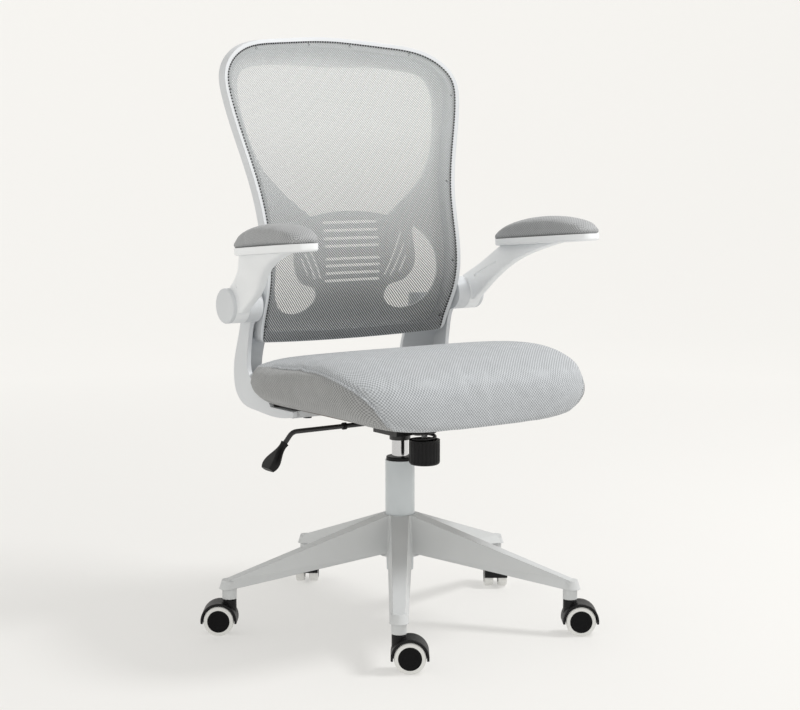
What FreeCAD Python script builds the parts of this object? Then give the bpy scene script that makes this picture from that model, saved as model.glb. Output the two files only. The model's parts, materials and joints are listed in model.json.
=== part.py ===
"""Mesh task chair with flip-up arms, a gas lift, a tilting seat and five twin-wheel casters.

Sizes are in millimetres. The origin is on the floor under the gas lift, +Z is up,
the sitter faces -Y and +X is the sitter's left.
"""
import FreeCAD, Part
import math
import os

Vec = FreeCAD.Vector
ORIGIN = Vec(0, 0, 0)
X_AXIS = Vec(1, 0, 0)
Y_AXIS = Vec(0, 1, 0)
Z_AXIS = Vec(0, 0, 1)

# Fits and clearances
RUNNING_FIT = 0.05          # radial clearance of a shaft that turns or slides in its bore
SIDE_PLAY = 0.3             # gap between flat faces that move past each other
OVERCUT = 5.0               # how far a cutting solid runs past the face that it opens
PARALLEL = 0.999            # cosine above which two directions count as parallel
PILLOW_SECTIONS = 13        # cross-sections in a cushion
PILLOW_POINTS = 32          # points round each of them
PILLOW_END = 0.04           # share of the half turn left off at each end of a cushion

# Casters
WHEEL_DIA = 50.0
WHEEL_WIDTH = 16.5
TREAD_DEPTH = 6.5
TREAD_ROUND = 3.0
CORE_RECESS = 0.8
CORE_DISH_DIA = 22.0
AXLE_DIA = 8.0
AXLE_GRIP = 11.0            # length of the axle inside each wheel
AXLE_BOSS_DIA = 19.0
HOOD_WEB = 8.0              # web between the two wheels
HOOD_GAP = 1.5              # gap between hood and tread
HOOD_WALL = 3.5
HOOD_ROUND = 1.5
HOOD_NECK_DIA = 23.0
HOOD_NECK_RISE = 3.0
HOOD_LIP_DROP = 4.0         # how far the hood's rim comes down below the axle
CASTER_TRAIL = 17.0
STEM_DIA = 11.0
STEM_GRIP = 24.0            # length of the stem in the socket
STEM_ROOT = 12.0            # length of the stem in the hood
CASTER_HEADINGS = (54.5, 144.5, -35.5, -35.5, -125.5)   # trailing direction of each caster, degrees

# Star base
SPOKE_COUNT = 5
REAR_SPOKE_ANGLE = 90.0
STEM_CIRCLE_RADIUS = 298.0
SOCKET_DIA = 24.0
SOCKET_GAP = 2.0            # between the caster hood and the socket
SOCKET_HEIGHT = 32.0
SPOKE_TIP_DEPTH = 15.0
SPOKE_TIP_TOP_WIDTH = 19.0
SPOKE_TIP_BASE_WIDTH = 29.0
SPOKE_TIP_REACH = 2.0       # the rounded tip's centre past the caster stem
SPOKE_TIP_SWELL = 0.8       # the rounded tip's radius beyond the spoke's half width
SPOKE_RISE = 93.0           # from the spoke's tip up to the top of the hub
SPOKE_ROOT_DEPTH = 63.0
SPOKE_ROOT_TOP_WIDTH = 30.0
SPOKE_ROOT_BASE_WIDTH = 42.0
SPOKE_WALL = 3.5
RIB_THICK = 2.5
RIB_COUNT = 4               # cross ribs under each spoke
HUB_HEIGHT = 70.0
HUB_TOP_WALL = 4.0
HUB_BASE_WALL = 12.0

# Gas lift
COLUMN_DIA = 50.0
COLUMN_WALL = 2.0
COLUMN_LENGTH = 190.0
COLUMN_TAIL = 27.0          # how far the column stands out below the hub
COLUMN_TAPER = 1.3          # degrees, of the length held in the hub
COLUMN_END_PLATE = 3.0
BUSH_LENGTH = 80.0
BUSH_FLANGE = 6.0
BUSH_FLANGE_DIA = 47.0
BUSH_CHAMFER = 1.0
ROD_DIA = 10.0
ROD_TAIL = 5.0              # rod below the column's end plate
ROD_COLLAR_DIA = 18.0
ROD_COLLAR = 6.0
BEARING_DIA = 24.0
BEARING_HEIGHT = 6.0
CLIP_DIA = 17.0
CLIP_THICK = 2.0
CYLINDER_DIA = 28.0
CYLINDER_WALL = 2.0
CYLINDER_GUIDE = 12.0       # closed lower end around the rod
CYLINDER_CAP = 6.0
PISTON_LENGTH = 14.0
PISTON_GAP = 0.5
LIFT_DOWN = 15.0
LIFT_UP = 85.0
LIFT_SPARE = 20.0           # room left under the cylinder at its lowest
CHROME_SHOWING = 29.0
CONE_LENGTH = 23.0
CONE_DROP = 0.5             # loss of radius along the cone
BUTTON_DIA = 7.0
BUTTON_PROUD = 5.6
BUTTON_DEPTH = 12.0

# Tilt mechanism
SOCKET_WALL = 4.0           # of the tube that holds the gas lift's cone
HOUSING_WIDTH = 72.0
HOUSING_WALL = 3.0
HOUSING_FLOOR_RISE = 12.0   # floor above the mouth of the cone socket
HOUSING_REAR = 28.0
HOUSING_FRONT = -98.0
HOUSING_STEP = -40.0        # where the floor steps up to the front tongue
TONGUE_RISE = 15.0
WALL_ABOVE_PIN = 8.0
TILT_PIN_DIA = 12.0
TILT_PIN_Y = -24.0
TILT_PIN_RISE = 6.0         # above the lever
SEAT_PLATE_ABOVE_PIN = 23.0
SEAT_PLATE_THICK = 3.0
SEAT_PLATE_HALF_WIDTH = 95.0
SEAT_PLATE_FRONT = -104.0
SEAT_PLATE_REAR = 96.0
SEAT_PLATE_CORNER = 14.0
EAR_THICK = 3.0
EAR_HALF_LENGTH = 12.0
SEAT_BOLT_X = 76.0
SEAT_BOLT_FRONT = -78.0
SEAT_BOLT_REAR = 78.0
BOLT_DIA = 6.0
BOLT_HEAD_DIA = 14.0
BOLT_HEAD = 4.0
BOLT_GRIP = 8.0             # length of a bolt in the seat board

# Tension knob, its stud and spring
KNOB_Y = -70.0
KNOB_DIA = 52.0
KNOB_HEIGHT = 42.0
KNOB_DROP = 18.0            # rim of the knob below the tongue
KNOB_WALL = 4.0
KNOB_FLOOR = 7.0
KNOB_FLUTES = 24
KNOB_FLUTE_DIA = 4.0
KNOB_ROUND = 5.0
STUD_DIA = 10.0
STUD_FLANGE_DIA = 24.0
STUD_FLANGE = 4.0
STUD_SLOT_SPARE = 1.5
STUD_SLOT_FORWARD = 7.0     # room for the stud as the seat tilts
SPRING_WIRE = 5.0
SPRING_TURNS = 5
SPRING_GAP = 1.5            # between spring and knob wall

# Lever
LEVER_DIA = 8.0
LEVER_BUTTON_GAP = 0.4
LEVER_INNER_END = 9.0
LEVER_PIVOT_X = -46.0
LEVER_BEND_X = -207.0
LEVER_BEND_ANGLE = 50.0
LEVER_BEND_RADIUS = 18.0
LEVER_DROP_LENGTH = 40.0    # straight rod beyond the bend
LEVER_SLOT_SPARE = 5.0      # above and below the rod, in the housing wall
LEVER_SLOT_HALF_WIDTH = 7.0
COLLAR_X = -114.0
COLLAR_DIA = 12.0
COLLAR_LENGTH = 6.0
PADDLE_START = 14.0         # along the straight rod beyond the bend
PADDLE_LENGTH = 52.0
# share of the paddle's length, width, depth
PADDLE_SECTIONS = ((0.0, 13.0, 13.0), (0.45, 21.5, 14.3), (0.8, 36.0, 15.0), (1.0, 29.0, 10.5))
PADDLE_CORNER = 0.42        # corner radius as a share of the depth
PIVOT_BLOCK = 14.0
PIVOT_BLOCK_ROUND = 0.6
TRUNNION_DIA = 6.0
TRUNNION_LENGTH = 4.0
LUG_THICK = 3.0
LUG_ROUND = 7.0

# Seat
BOARD_THICK = 12.0
BOARD_HALF_WIDTH = 195.0
BOARD_FRONT = -212.0
BOARD_REAR = 165.0
BOARD_CORNER = 60.0
SEAT_HALF_WIDTH = 253.0
SEAT_HALF_DEPTH = 233.0
SEAT_MIDDLE_Y = -19.5
SEAT_FRONT_POWER = 5.4      # squareness of the front corners, seen from above
SEAT_REAR_POWER = 2.9
SEAT_UPPER_POWER = 4.0      # squareness of the cushion's cross-section above its widest line
SEAT_LOWER_POWER = 5.3
SEAT_TUCK = 0.13            # narrowing of the side towards the board
# heights of the cushion above the board's lower face, from the front end (-1) to the rear end (1)
SEAT_TOP_LINE = ((-1.0, 50.0), (-0.8, 80.0), (-0.54, 96.0), (-0.27, 98.0), (0.3, 80.0), (0.75, 65.0),
                 (1.0, 44.0))
SEAT_BOTTOM_LINE = ((-1.0, -12.0), (-0.85, -10.0), (-0.54, -5.0), (0.75, -3.0), (1.0, 4.0))

# Side brackets, outlines as (Y, height above the seat board's lower face)
BRACKET_OUTER_X = 214.0
BRACKET_WALL = 8.0
BRACKET_GAP = 0.5           # between bracket wall and cushion
STRAP_THICK = 7.0
STRAP_WIDTH = 64.0
STRAP_SWEEP = 21.0          # how far back the strap goes across its width
BRACKET_REAR_LINE = ((161.0, 166.0), (167.0, 127.0), (177.0, 98.0), (187.0, 68.0), (189.0, 40.0),
                     (182.0, 14.0), (160.0, -4.0), (120.0, -11.0), (60.0, -15.0), (0.0, -9.0))
BRACKET_FRONT_LINE = ((70.0, 0.0), (80.0, 12.0), (95.0, 24.0), (120.0, 35.0), (142.0, 52.0),
                      (145.0, 72.0), (141.0, 102.0), (134.0, 130.0), (106.0, 152.0))
FOOT_PAD_FRONT = 6.0
FOOT_PAD_REAR = 66.0
FOOT_BOLT_Y = (22.0, 50.0)
FOOT_BOLT_INSET = 22.0      # bolt row from the strap's inner end
BACK_BOSS_DIA = 24.0
BACK_BOSS_X = 172.0
BACK_BOSS_HEIGHTS = (112.0, 148.0)

# Back, heights above the seat board's lower face
BACK_PROFILE = ((80.0, 172.0), (120.0, 154.5), (172.0, 132.5), (222.0, 121.0), (280.0, 127.0), (338.0, 142.0),
                (437.0, 170.5), (535.0, 196.0), (650.0, 221.0))   # height, Y of the mesh at the middle
BACK_WRAP_DEPTH = 28.0      # how far the edges come forward ...
BACK_WRAP_HALF_WIDTH = 205.0   # ... at this distance from the middle
# half of the outline as (X, height), from the lower corner to the middle of the top
BACK_OUTLINE = ((193.0, 100.0), (197.0, 130.0), (200.8, 190.0), (201.5, 265.0), (204.5, 340.0),
                (221.5, 425.0), (241.0, 510.0), (240.0, 553.0), (214.0, 586.0), (110.0, 613.5), (0.0, 620.0))
BACK_LOWER_MIDDLE = 92.5
BACK_CORNER = 14.0          # radius of the lower corners
BACK_INNER_CORNER = 4.0     # least radius of the inset corners
BACK_SURFACE_HALF_WIDTH = 287.0   # of the curved sheet that the back is cut from ...
BACK_COLUMNS = 5            # ... and the points that it runs through
BACK_ROWS = 14
FRAME_WIDTH = 18.0
FRAME_DEPTH = 20.0
FRAME_LIP = 6.8             # bare rim outside the mesh, at the sides and top
MESH_HEM = 0.8              # from the mesh down to the rim's lower edge
MESH_THICK = 1.2
MESH_SINK = 0.8             # mesh below the rim's front face
SHELL_THICK = 4.5
SHELL_INSET = 3.0
WINDOW_OUTLINE = ((81.0, 309.0), (136.0, 352.0), (172.0, 392.0), (190.0, 435.0), (201.0, 485.0),
                  (203.0, 525.0), (193.0, 552.0), (160.0, 565.0), (0.0, 569.0))
LUMBAR_TOP = 318.0
CRESCENT_OUTLINE = ((132.0, 288.0), (158.0, 262.0), (170.0, 225.0), (168.0, 185.0), (152.0, 156.0),
                    (122.0, 143.0), (92.0, 147.0), (73.0, 165.0), (76.0, 184.0), (104.0, 194.0),
                    (122.0, 214.0), (126.0, 250.0))
SLOT_HEIGHTS = (198.0, 211.0, 224.0, 236.0, 258.0, 271.0, 285.0, 299.0)
SLOT_HALF_LENGTH = 56.0
SLOT_WIDTH = 5.0
WING_SLOTS = (((103.0, 280.0), (68.0, 205.0)), ((107.0, 258.0), (80.0, 204.0)),
              ((110.0, 238.0), (97.0, 211.0)))
SCREW_INSET = 12.5
SCREW_SPOTS = (0.8, 2.5, 4.3, 6.3, 8.5, 9.6)   # along the outline, counted in its points
SCREW_HEAD_DIA = 6.0
SCREW_HEAD = 3.0
SCREW_DIA = 3.0
SCREW_SINK = 4.5

# Arms
ARM_PIVOT_Y = 132.0
ARM_PIVOT_HEIGHT = 166.0    # above the seat board's lower face
HUB_DIA = 59.0
FIXED_HUB_LENGTH = 17.0
ARM_HUB_LENGTH = 25.0
CAP_THICK = 8.0
CAP_ROUND = 3.0
PIVOT_PIN_DIA = 20.0
PIVOT_PIN_SHORT = 4.0       # pin ends this far inside the arm hub
ARM_RISE = 96.0             # underside of the tray above the pivot, at the tray's middle
# level cuts through the arm: height and Y of front and rear from the pivot, X of the middle, thickness
ARM_SECTIONS = ((-10.0, -34.0, 22.0, 243.8, 20.0), (10.0, -60.0, 25.0, 243.8, 20.0),
                (29.0, -84.0, 6.0, 244.5, 20.0), (47.0, -105.0, -23.0, 250.5, 20.0),
                (65.0, -131.0, -48.0, 258.5, 21.0), (78.0, -159.0, -63.0, 265.5, 23.0),
                (89.0, -191.0, -76.0, 271.5, 25.0), (98.0, -223.0, -87.0, 276.0, 27.0),
                (107.0, -260.0, -98.0, 280.0, 29.0))
ARM_SECTION_POWER = 5.0     # squareness of those cuts
ARM_GROOVE_DIA = 7.0
ARM_GROOVE_DEPTH = 1.6
OUTER_GROOVE = ((-39.0, 59.0), (-24.0, 31.0))   # (Y, height) of its ends from the pivot
INNER_GROOVE = ((-84.0, 60.0), (-36.0, 33.0))
TRAY_LENGTH = 226.0
TRAY_WIDTH = 69.0
TRAY_THICK = 12.0
TRAY_ROUND = 4.0
TRAY_MIDDLE_Y = -52.5
TRAY_MIDDLE_X = 277.0
TRAY_TOE_OUT = 5.5          # degrees
TRAY_PITCH = 4.5            # degrees that the front end is raised
PAD_OVERHANG = 1.0
PAD_TOP_LINE = ((-1.0, 12.0), (-0.8, 24.0), (-0.4, 33.5), (0.1, 35.5), (0.6, 28.0), (1.0, 12.0))
PAD_BOTTOM_LINE = ((-1.0, -4.0), (1.0, -4.0))
PAD_PLAN_POWER = 3.2
PAD_SECTION_POWER = 2.6

# Levels that follow from the sizes above
wheel_radius = WHEEL_DIA / 2
hood_radius = wheel_radius + HOOD_GAP + HOOD_WALL
hood_half_width = HOOD_WEB / 2 + SIDE_PLAY + WHEEL_WIDTH
hood_top = wheel_radius + hood_radius + HOOD_NECK_RISE
socket_bottom = hood_top + SOCKET_GAP
tip_top = socket_bottom + SOCKET_HEIGHT
hub_top = tip_top + SPOKE_RISE
hub_bottom = hub_top - HUB_HEIGHT
column_radius = COLUMN_DIA / 2
column_bottom = hub_bottom - COLUMN_TAIL
column_top = column_bottom + COLUMN_LENGTH
column_taper_loss = (hub_top - column_bottom) * math.tan(math.radians(COLUMN_TAPER))
bearing_top = column_bottom + COLUMN_END_PLATE + BEARING_HEIGHT
collar_top = bearing_top + SIDE_PLAY + ROD_COLLAR
cylinder_bottom = collar_top + LIFT_DOWN + LIFT_SPARE
piston_bottom = cylinder_bottom + CYLINDER_GUIDE + LIFT_UP + LIFT_SPARE / 4
cylinder_radius = CYLINDER_DIA / 2
cone_mouth = column_top + BUSH_FLANGE + CHROME_SHOWING
cone_top = cone_mouth + CONE_LENGTH
lever_z = cone_top + BUTTON_PROUD + LEVER_BUTTON_GAP + LEVER_DIA / 2
pin_z = lever_z + TILT_PIN_RISE
housing_floor = cone_mouth + HOUSING_FLOOR_RISE
tongue_z = housing_floor + TONGUE_RISE
housing_top = pin_z + WALL_ABOVE_PIN
knob_top = tongue_z - KNOB_DROP
knob_bottom = knob_top - KNOB_HEIGHT
seat_plate_z = pin_z + SEAT_PLATE_ABOVE_PIN
board_z = seat_plate_z + SEAT_PLATE_THICK
arm_pivot_z = board_z + ARM_PIVOT_HEIGHT
fixed_hub_end = BRACKET_OUTER_X + FIXED_HUB_LENGTH
arm_hub_start = fixed_hub_end + SIDE_PLAY
arm_hub_end = arm_hub_start + ARM_HUB_LENGTH
tray_z = arm_pivot_z + ARM_RISE


# Small building blocks
def box(x_range, y_range, z_range):
    """Box between two values on each axis."""
    low = Vec(x_range[0], y_range[0], z_range[0])
    size = Vec(x_range[1], y_range[1], z_range[1]) - low
    return Part.makeBox(size.x, size.y, size.z, low)


def rod(diameter, start, end):
    """Round bar between two points."""
    axis = end - start
    return Part.makeCylinder(diameter / 2, axis.Length, start, axis)


def cross_rod(diameter, x_range, y, z):
    """Round bar along X."""
    return rod(diameter, Vec(x_range[0], y, z), Vec(x_range[1], y, z))


def ring(outer_diameter, inner_diameter, z_low, z_high):
    """Upright ring on the Z axis."""
    outer = rod(outer_diameter, Vec(0, 0, z_low), Vec(0, 0, z_high))
    inner = rod(inner_diameter, Vec(0, 0, z_low - OVERCUT), Vec(0, 0, z_high + OVERCUT))
    return outer.cut(inner)


def turned(profile):
    """Solid of revolution about Z from (radius, height) points."""
    points = [Vec(radius, 0, height) for radius, height in profile]
    return Part.Face(Part.makePolygon(points + points[:1])).revolve(ORIGIN, Z_AXIS, 360)


def spline(points):
    """Smooth open edge through points."""
    curve = Part.BSplineCurve()
    curve.interpolate(points)
    return curve.toShape()


def arch(half):
    """Smooth edge over points that end on the middle plane and on through their mirror images."""
    return spline(half + [Vec(-point.x, point.y, point.z) for point in reversed(half[:-1])])


def loop_face(points):
    """Flat face inside a smooth closed line through points."""
    curve = Part.BSplineCurve()
    curve.interpolate(Points=points, PeriodicFlag=True)
    return Part.Face(Part.Wire([curve.toShape()]))


def chain_face(*edges):
    """Flat face inside edges that follow each other end to end."""
    return Part.Face(Part.Wire(Part.__sortEdges__(list(edges))))


def line(start, end):
    """Straight edge."""
    return Part.LineSegment(start, end).toShape()


def rounded(shape, radius, wanted):
    """Shape with the wanted edges rounded."""
    return shape.makeFillet(radius, [edge for edge in shape.Edges if wanted(edge)])


def runs_along(edge, axis):
    """True for a straight edge along an axis."""
    if edge.Curve.TypeId != "Part::GeomLine":
        return False
    return abs(edge.tangentAt(edge.FirstParameter).dot(axis)) > PARALLEL


def rounded_plate(x_range, y_range, z_range, corner):
    """Flat plate with rounded corners."""
    return rounded(box(x_range, y_range, z_range), corner, lambda edge: runs_along(edge, Z_AXIS))


def mirrored(shape):
    """Copy on the other side of the chair's middle plane."""
    return shape.mirror(ORIGIN, X_AXIS)


def level(knots, place):
    """Value at one place of a smooth line through (place, value) knots in rising order."""
    last = len(knots) - 2
    index = max([0] + [number for number in range(last + 1) if knots[number][0] <= place])
    before, after = knots[max(index - 1, 0)], knots[min(index + 2, last + 1)]
    start, end = knots[index], knots[index + 1]
    span = end[0] - start[0]
    share = (place - start[0]) / span
    start_slope = (end[1] - before[1]) / (end[0] - before[0]) * span
    end_slope = (after[1] - start[1]) / (after[0] - start[0]) * span
    rise = end[1] - start[1]
    bend = share * (1 - share)
    return start[1] + rise * share + bend * ((1 - share) * (start_slope - rise) + share * (rise - end_slope))


def oval_face(half_width, half_length, power):
    """Flat oval with squared ends; the power sets how square they are."""
    points = []
    for index in range(PILLOW_POINTS):
        turn = 2 * math.pi * index / PILLOW_POINTS
        across, along = squared(turn, power)
        points.append(Vec(half_width * across, half_length * along, 0))
    return loop_face(points)


def squared(turn, power):
    """Cosine and sine of a turn, pushed out towards a square."""
    fullness = 2 / power
    across = math.copysign(abs(math.cos(turn)) ** fullness, math.cos(turn))
    return across, math.copysign(abs(math.sin(turn)) ** fullness, math.sin(turn))


def pillow(half_width, half_length, plan_powers, section_powers, top_line, bottom_line, tuck):
    """Crowned cushion around the origin, lofted through cross-sections along Y.

    The powers set how square the corners are: front and rear seen from above,
    lower and upper in each section.
    """
    sections = []
    for step in range(PILLOW_SECTIONS):
        share = math.cos(math.pi * (PILLOW_END + (1 - 2 * PILLOW_END) * step / (PILLOW_SECTIONS - 1)))
        power = plan_powers[share > 0]
        width = half_width * (1 - abs(share) ** power) ** (1 / power)
        top = level(top_line, share)
        bottom = level(bottom_line, share)
        points = []
        for index in range(PILLOW_POINTS):
            turn = 2 * math.pi * (index + 0.5) / PILLOW_POINTS
            across, up = squared(turn, section_powers[math.sin(turn) > 0])
            narrowing = 1 + tuck * min(up, 0)
            height = (top + bottom) / 2 + up * (top - bottom) / 2
            points.append(Vec(width * across * narrowing, half_length * share, height))
        sections.append(loop_face(points).OuterWire)
    return Part.makeLoft(sections, True)


# Star base
def spoke_corners(radius, widths, levels):
    """Corners of the trapezoid across a spoke that runs along X, from the lower right one round."""
    base, top = widths
    low, high = levels
    return [Vec(radius, -base / 2, low), Vec(radius, base / 2, low),
            Vec(radius, top / 2, high), Vec(radius, -top / 2, high)]


def spoke_solid(inset, below):
    """Tapered flat-faced spoke along X, inset by a wall and reaching below its lower edge."""
    root_widths = (SPOKE_ROOT_BASE_WIDTH - 2 * inset, SPOKE_ROOT_TOP_WIDTH - 2 * inset)
    tip_widths = (SPOKE_TIP_BASE_WIDTH - 2 * inset, SPOKE_TIP_TOP_WIDTH - 2 * inset)
    root_levels = (hub_top - SPOKE_ROOT_DEPTH - below, hub_top - inset)
    tip_levels = (tip_top - SPOKE_TIP_DEPTH - below, tip_top - inset)
    a, b, c, d = spoke_corners(column_radius, root_widths, root_levels)
    e, f, g, h = spoke_corners(STEM_CIRCLE_RADIUS + SPOKE_TIP_REACH, tip_widths, tip_levels)
    ends = ((a, b, c, d), (e, f, g, h))
    top_and_base = ((c, d, h, g), (a, b, f, e))
    sides = ((b, c, g), (b, g, f), (a, d, h), (a, h, e))
    outlines = ends + top_and_base + sides
    faces = [Part.Face(Part.makePolygon(outline + outline[:1])) for outline in outlines]
    return Part.Solid(Part.Shell(faces))


def spoke_ribs():
    """Ribs that stiffen the spoke's open underside."""
    start = column_radius + HUB_TOP_WALL / 2
    end = STEM_CIRCLE_RADIUS - SOCKET_DIA / 4
    tall = (0, hub_top)
    ribs = [box((start, end), (-RIB_THICK / 2, RIB_THICK / 2), tall)]
    for index in range(RIB_COUNT):
        middle = start + (end - start) * (index + 1) / (RIB_COUNT + 1)
        across = (-SPOKE_ROOT_BASE_WIDTH, SPOKE_ROOT_BASE_WIDTH)
        ribs.append(box((middle - RIB_THICK / 2, middle + RIB_THICK / 2), across, tall))
    room = spoke_solid(SPOKE_WALL / 2, -RIB_THICK)
    return [rib.common(room) for rib in ribs]


def spoke():
    """One hollow spoke with its ribs, rounded tip and caster socket, along X."""
    tip_low = tip_top - SPOKE_TIP_DEPTH
    tip = Part.makeCone(SPOKE_TIP_BASE_WIDTH / 2 + SPOKE_TIP_SWELL, SPOKE_TIP_TOP_WIDTH / 2 + SPOKE_TIP_SWELL,
                        SPOKE_TIP_DEPTH, Vec(STEM_CIRCLE_RADIUS + SPOKE_TIP_REACH, 0, tip_low))
    socket = rod(SOCKET_DIA, Vec(STEM_CIRCLE_RADIUS, 0, socket_bottom),
                 Vec(STEM_CIRCLE_RADIUS, 0, tip_top - SPOKE_WALL / 2))
    channel = spoke_solid(SPOKE_WALL, OVERCUT)
    keep = rod(SOCKET_DIA - SPOKE_WALL, Vec(STEM_CIRCLE_RADIUS, 0, 0), Vec(STEM_CIRCLE_RADIUS, 0, hub_top))
    past_stem = box((STEM_CIRCLE_RADIUS, STEM_CIRCLE_RADIUS + SOCKET_DIA), (-SOCKET_DIA, SOCKET_DIA),
                    (0, hub_top))
    open_channel = channel.cut([keep, past_stem])
    shell = spoke_solid(0, 0).fuse([tip]).cut(open_channel)
    bore = rod(STEM_DIA + 2 * RUNNING_FIT, Vec(STEM_CIRCLE_RADIUS, 0, socket_bottom - OVERCUT),
               Vec(STEM_CIRCLE_RADIUS, 0, socket_bottom + STEM_GRIP + SIDE_PLAY))
    return shell.fuse(spoke_ribs() + [socket]).cut(bore)


def hub_bore():
    """Tapered hole in the hub, the size of the column's lower end."""
    return Part.makeCone(column_radius - column_taper_loss, column_radius, hub_top - column_bottom,
                         Vec(0, 0, column_bottom))


def star_base():
    """Five-spoke moulded base."""
    hub = Part.makeCone(column_radius + HUB_BASE_WALL, column_radius + HUB_TOP_WALL, HUB_HEIGHT,
                        Vec(0, 0, hub_bottom))
    arm = spoke()
    spokes = [arm.rotated(ORIGIN, Z_AXIS, spoke_angle(index)) for index in range(SPOKE_COUNT)]
    return hub.fuse(spokes).cut(hub_bore())


def spoke_angle(index):
    """Direction of a spoke in degrees."""
    return REAR_SPOKE_ANGLE + 360.0 * index / SPOKE_COUNT


# Casters, each drawn with its stem on the Z axis and trailing along X
def wheel_envelope(side):
    """Room that one wheel needs inside the hood."""
    start = side * HOOD_WEB / 2
    end = side * (hood_half_width + OVERCUT)
    return rod(WHEEL_DIA + 2 * HOOD_GAP, Vec(CASTER_TRAIL, start, wheel_radius),
               Vec(CASTER_TRAIL, end, wheel_radius))


def caster_hood():
    """Rounded hood over both wheels with a web between them and a neck for the stem."""
    middle = Vec(CASTER_TRAIL, 0, wheel_radius)
    reach = Vec(0, hood_half_width, 0)
    drum = rod(2 * hood_radius, middle - reach, middle + reach)
    drum = rounded(drum, HOOD_ROUND, lambda edge: edge.Curve.TypeId == "Part::GeomCircle")
    rim = wheel_radius - HOOD_LIP_DROP
    below = box((-WHEEL_DIA, 2 * WHEEL_DIA), (-WHEEL_DIA, WHEEL_DIA), (-OVERCUT, rim))
    neck = rod(HOOD_NECK_DIA, Vec(0, 0, wheel_radius), Vec(0, 0, hood_top))
    web = Vec(0, HOOD_WEB / 2, 0)
    axle_boss = rod(AXLE_BOSS_DIA, middle - web, middle + web)
    hood = drum.cut(below).fuse([neck]).cut([wheel_envelope(1), wheel_envelope(-1)]).fuse(axle_boss)
    stem_bore = rod(STEM_DIA, Vec(0, 0, hood_top - STEM_ROOT), Vec(0, 0, hood_top + OVERCUT))
    axle_bore = rod(AXLE_DIA, middle - 2 * web, middle + 2 * web)
    return hood.cut([stem_bore, axle_bore]).removeSplitter()


def caster_pins():
    """Caster stem and wheel axle."""
    stem = rod(STEM_DIA, Vec(0, 0, hood_top - STEM_ROOT), Vec(0, 0, socket_bottom + STEM_GRIP))
    reach = Vec(0, HOOD_WEB / 2 + SIDE_PLAY + AXLE_GRIP, 0)
    middle = Vec(CASTER_TRAIL, 0, wheel_radius)
    return Part.makeCompound([stem, rod(AXLE_DIA, middle - reach, middle + reach)])


def caster_wheel(side):
    """Wheel of one side: a tread ring on a dished core with a blind bore."""
    core_radius = wheel_radius - TREAD_DEPTH
    tread = ring(WHEEL_DIA, 2 * core_radius, 0, WHEEL_WIDTH)
    inside = core_radius + TREAD_DEPTH / 2
    tread = rounded(tread, TREAD_ROUND, lambda edge: edge.isClosed() and edge.Curve.Radius > inside)
    face = WHEEL_WIDTH - CORE_RECESS
    dish = CORE_DISH_DIA / 2
    core = turned(((0, CORE_RECESS), (core_radius, CORE_RECESS), (core_radius, face),
                   (dish + CORE_RECESS, face), (dish, face - CORE_RECESS), (0, face - CORE_RECESS)))
    hub = rod(2 * AXLE_DIA, ORIGIN, Vec(0, 0, CORE_RECESS))
    bore = rod(AXLE_DIA + 2 * RUNNING_FIT, Vec(0, 0, -OVERCUT), Vec(0, 0, AXLE_GRIP + SIDE_PLAY))
    wheel = Part.makeCompound([tread, core.fuse(hub).cut(bore)])
    upright = wheel.rotated(ORIGIN, X_AXIS, -90 * side)
    return upright.translated(Vec(CASTER_TRAIL, side * (HOOD_WEB / 2 + SIDE_PLAY), wheel_radius))


def placed_caster(piece, index):
    """Caster piece turned to its heading and set under its spoke."""
    angle = math.radians(spoke_angle(index))
    stem = Vec(STEM_CIRCLE_RADIUS * math.cos(angle), STEM_CIRCLE_RADIUS * math.sin(angle), 0)
    return piece.rotated(ORIGIN, Z_AXIS, CASTER_HEADINGS[index]).translated(stem)


# Gas lift
def lift_column():
    """Outer tube with a tapered lower end, a closed bottom and a rolled top edge."""
    inner = column_radius - COLUMN_WALL
    foot = column_radius - column_taper_loss
    floor = column_bottom + COLUMN_END_PLATE
    hole = ROD_COLLAR_DIA / 2
    return turned(((hole, column_bottom), (foot, column_bottom), (column_radius, hub_top),
                   (column_radius, column_top), (inner, column_top), (inner, hub_top),
                   (foot - COLUMN_WALL, floor), (hole, floor)))


def column_bush():
    """Plastic guide sleeve for the cylinder, with a flange on top of the column."""
    bore = cylinder_radius + RUNNING_FIT
    sleeve = column_radius - COLUMN_WALL
    flange_top = column_top + BUSH_FLANGE
    return turned(((bore, column_top - BUSH_LENGTH), (sleeve, column_top - BUSH_LENGTH), (sleeve, column_top),
                   (BUSH_FLANGE_DIA / 2, column_top), (BUSH_FLANGE_DIA / 2, flange_top - BUSH_CHAMFER),
                   (BUSH_FLANGE_DIA / 2 - BUSH_CHAMFER, flange_top), (bore, flange_top)))


def thrust_bearing():
    """Ring that carries the rod on the column's end plate."""
    floor = column_bottom + COLUMN_END_PLATE
    return ring(BEARING_DIA, ROD_DIA + 2 * RUNNING_FIT, floor, bearing_top)


def piston_rod():
    """Rod with the collar that rests on the bearing and the piston inside the cylinder."""
    shaft = rod(ROD_DIA, Vec(0, 0, column_bottom - ROD_TAIL), Vec(0, 0, piston_bottom))
    collar = rod(ROD_COLLAR_DIA, Vec(0, 0, bearing_top + SIDE_PLAY), Vec(0, 0, collar_top))
    bore = CYLINDER_DIA - 2 * CYLINDER_WALL
    piston = rod(bore - 2 * PISTON_GAP, Vec(0, 0, piston_bottom), Vec(0, 0, piston_bottom + PISTON_LENGTH))
    return shaft.fuse([collar, piston])


def column_clip():
    """Retaining ring on the rod below the column."""
    top = column_bottom - SIDE_PLAY
    return ring(CLIP_DIA, ROD_DIA, top - CLIP_THICK, top)


def cone_radius():
    """Radius at the small upper end of the cylinder's cone."""
    return cylinder_radius - CONE_DROP


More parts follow.
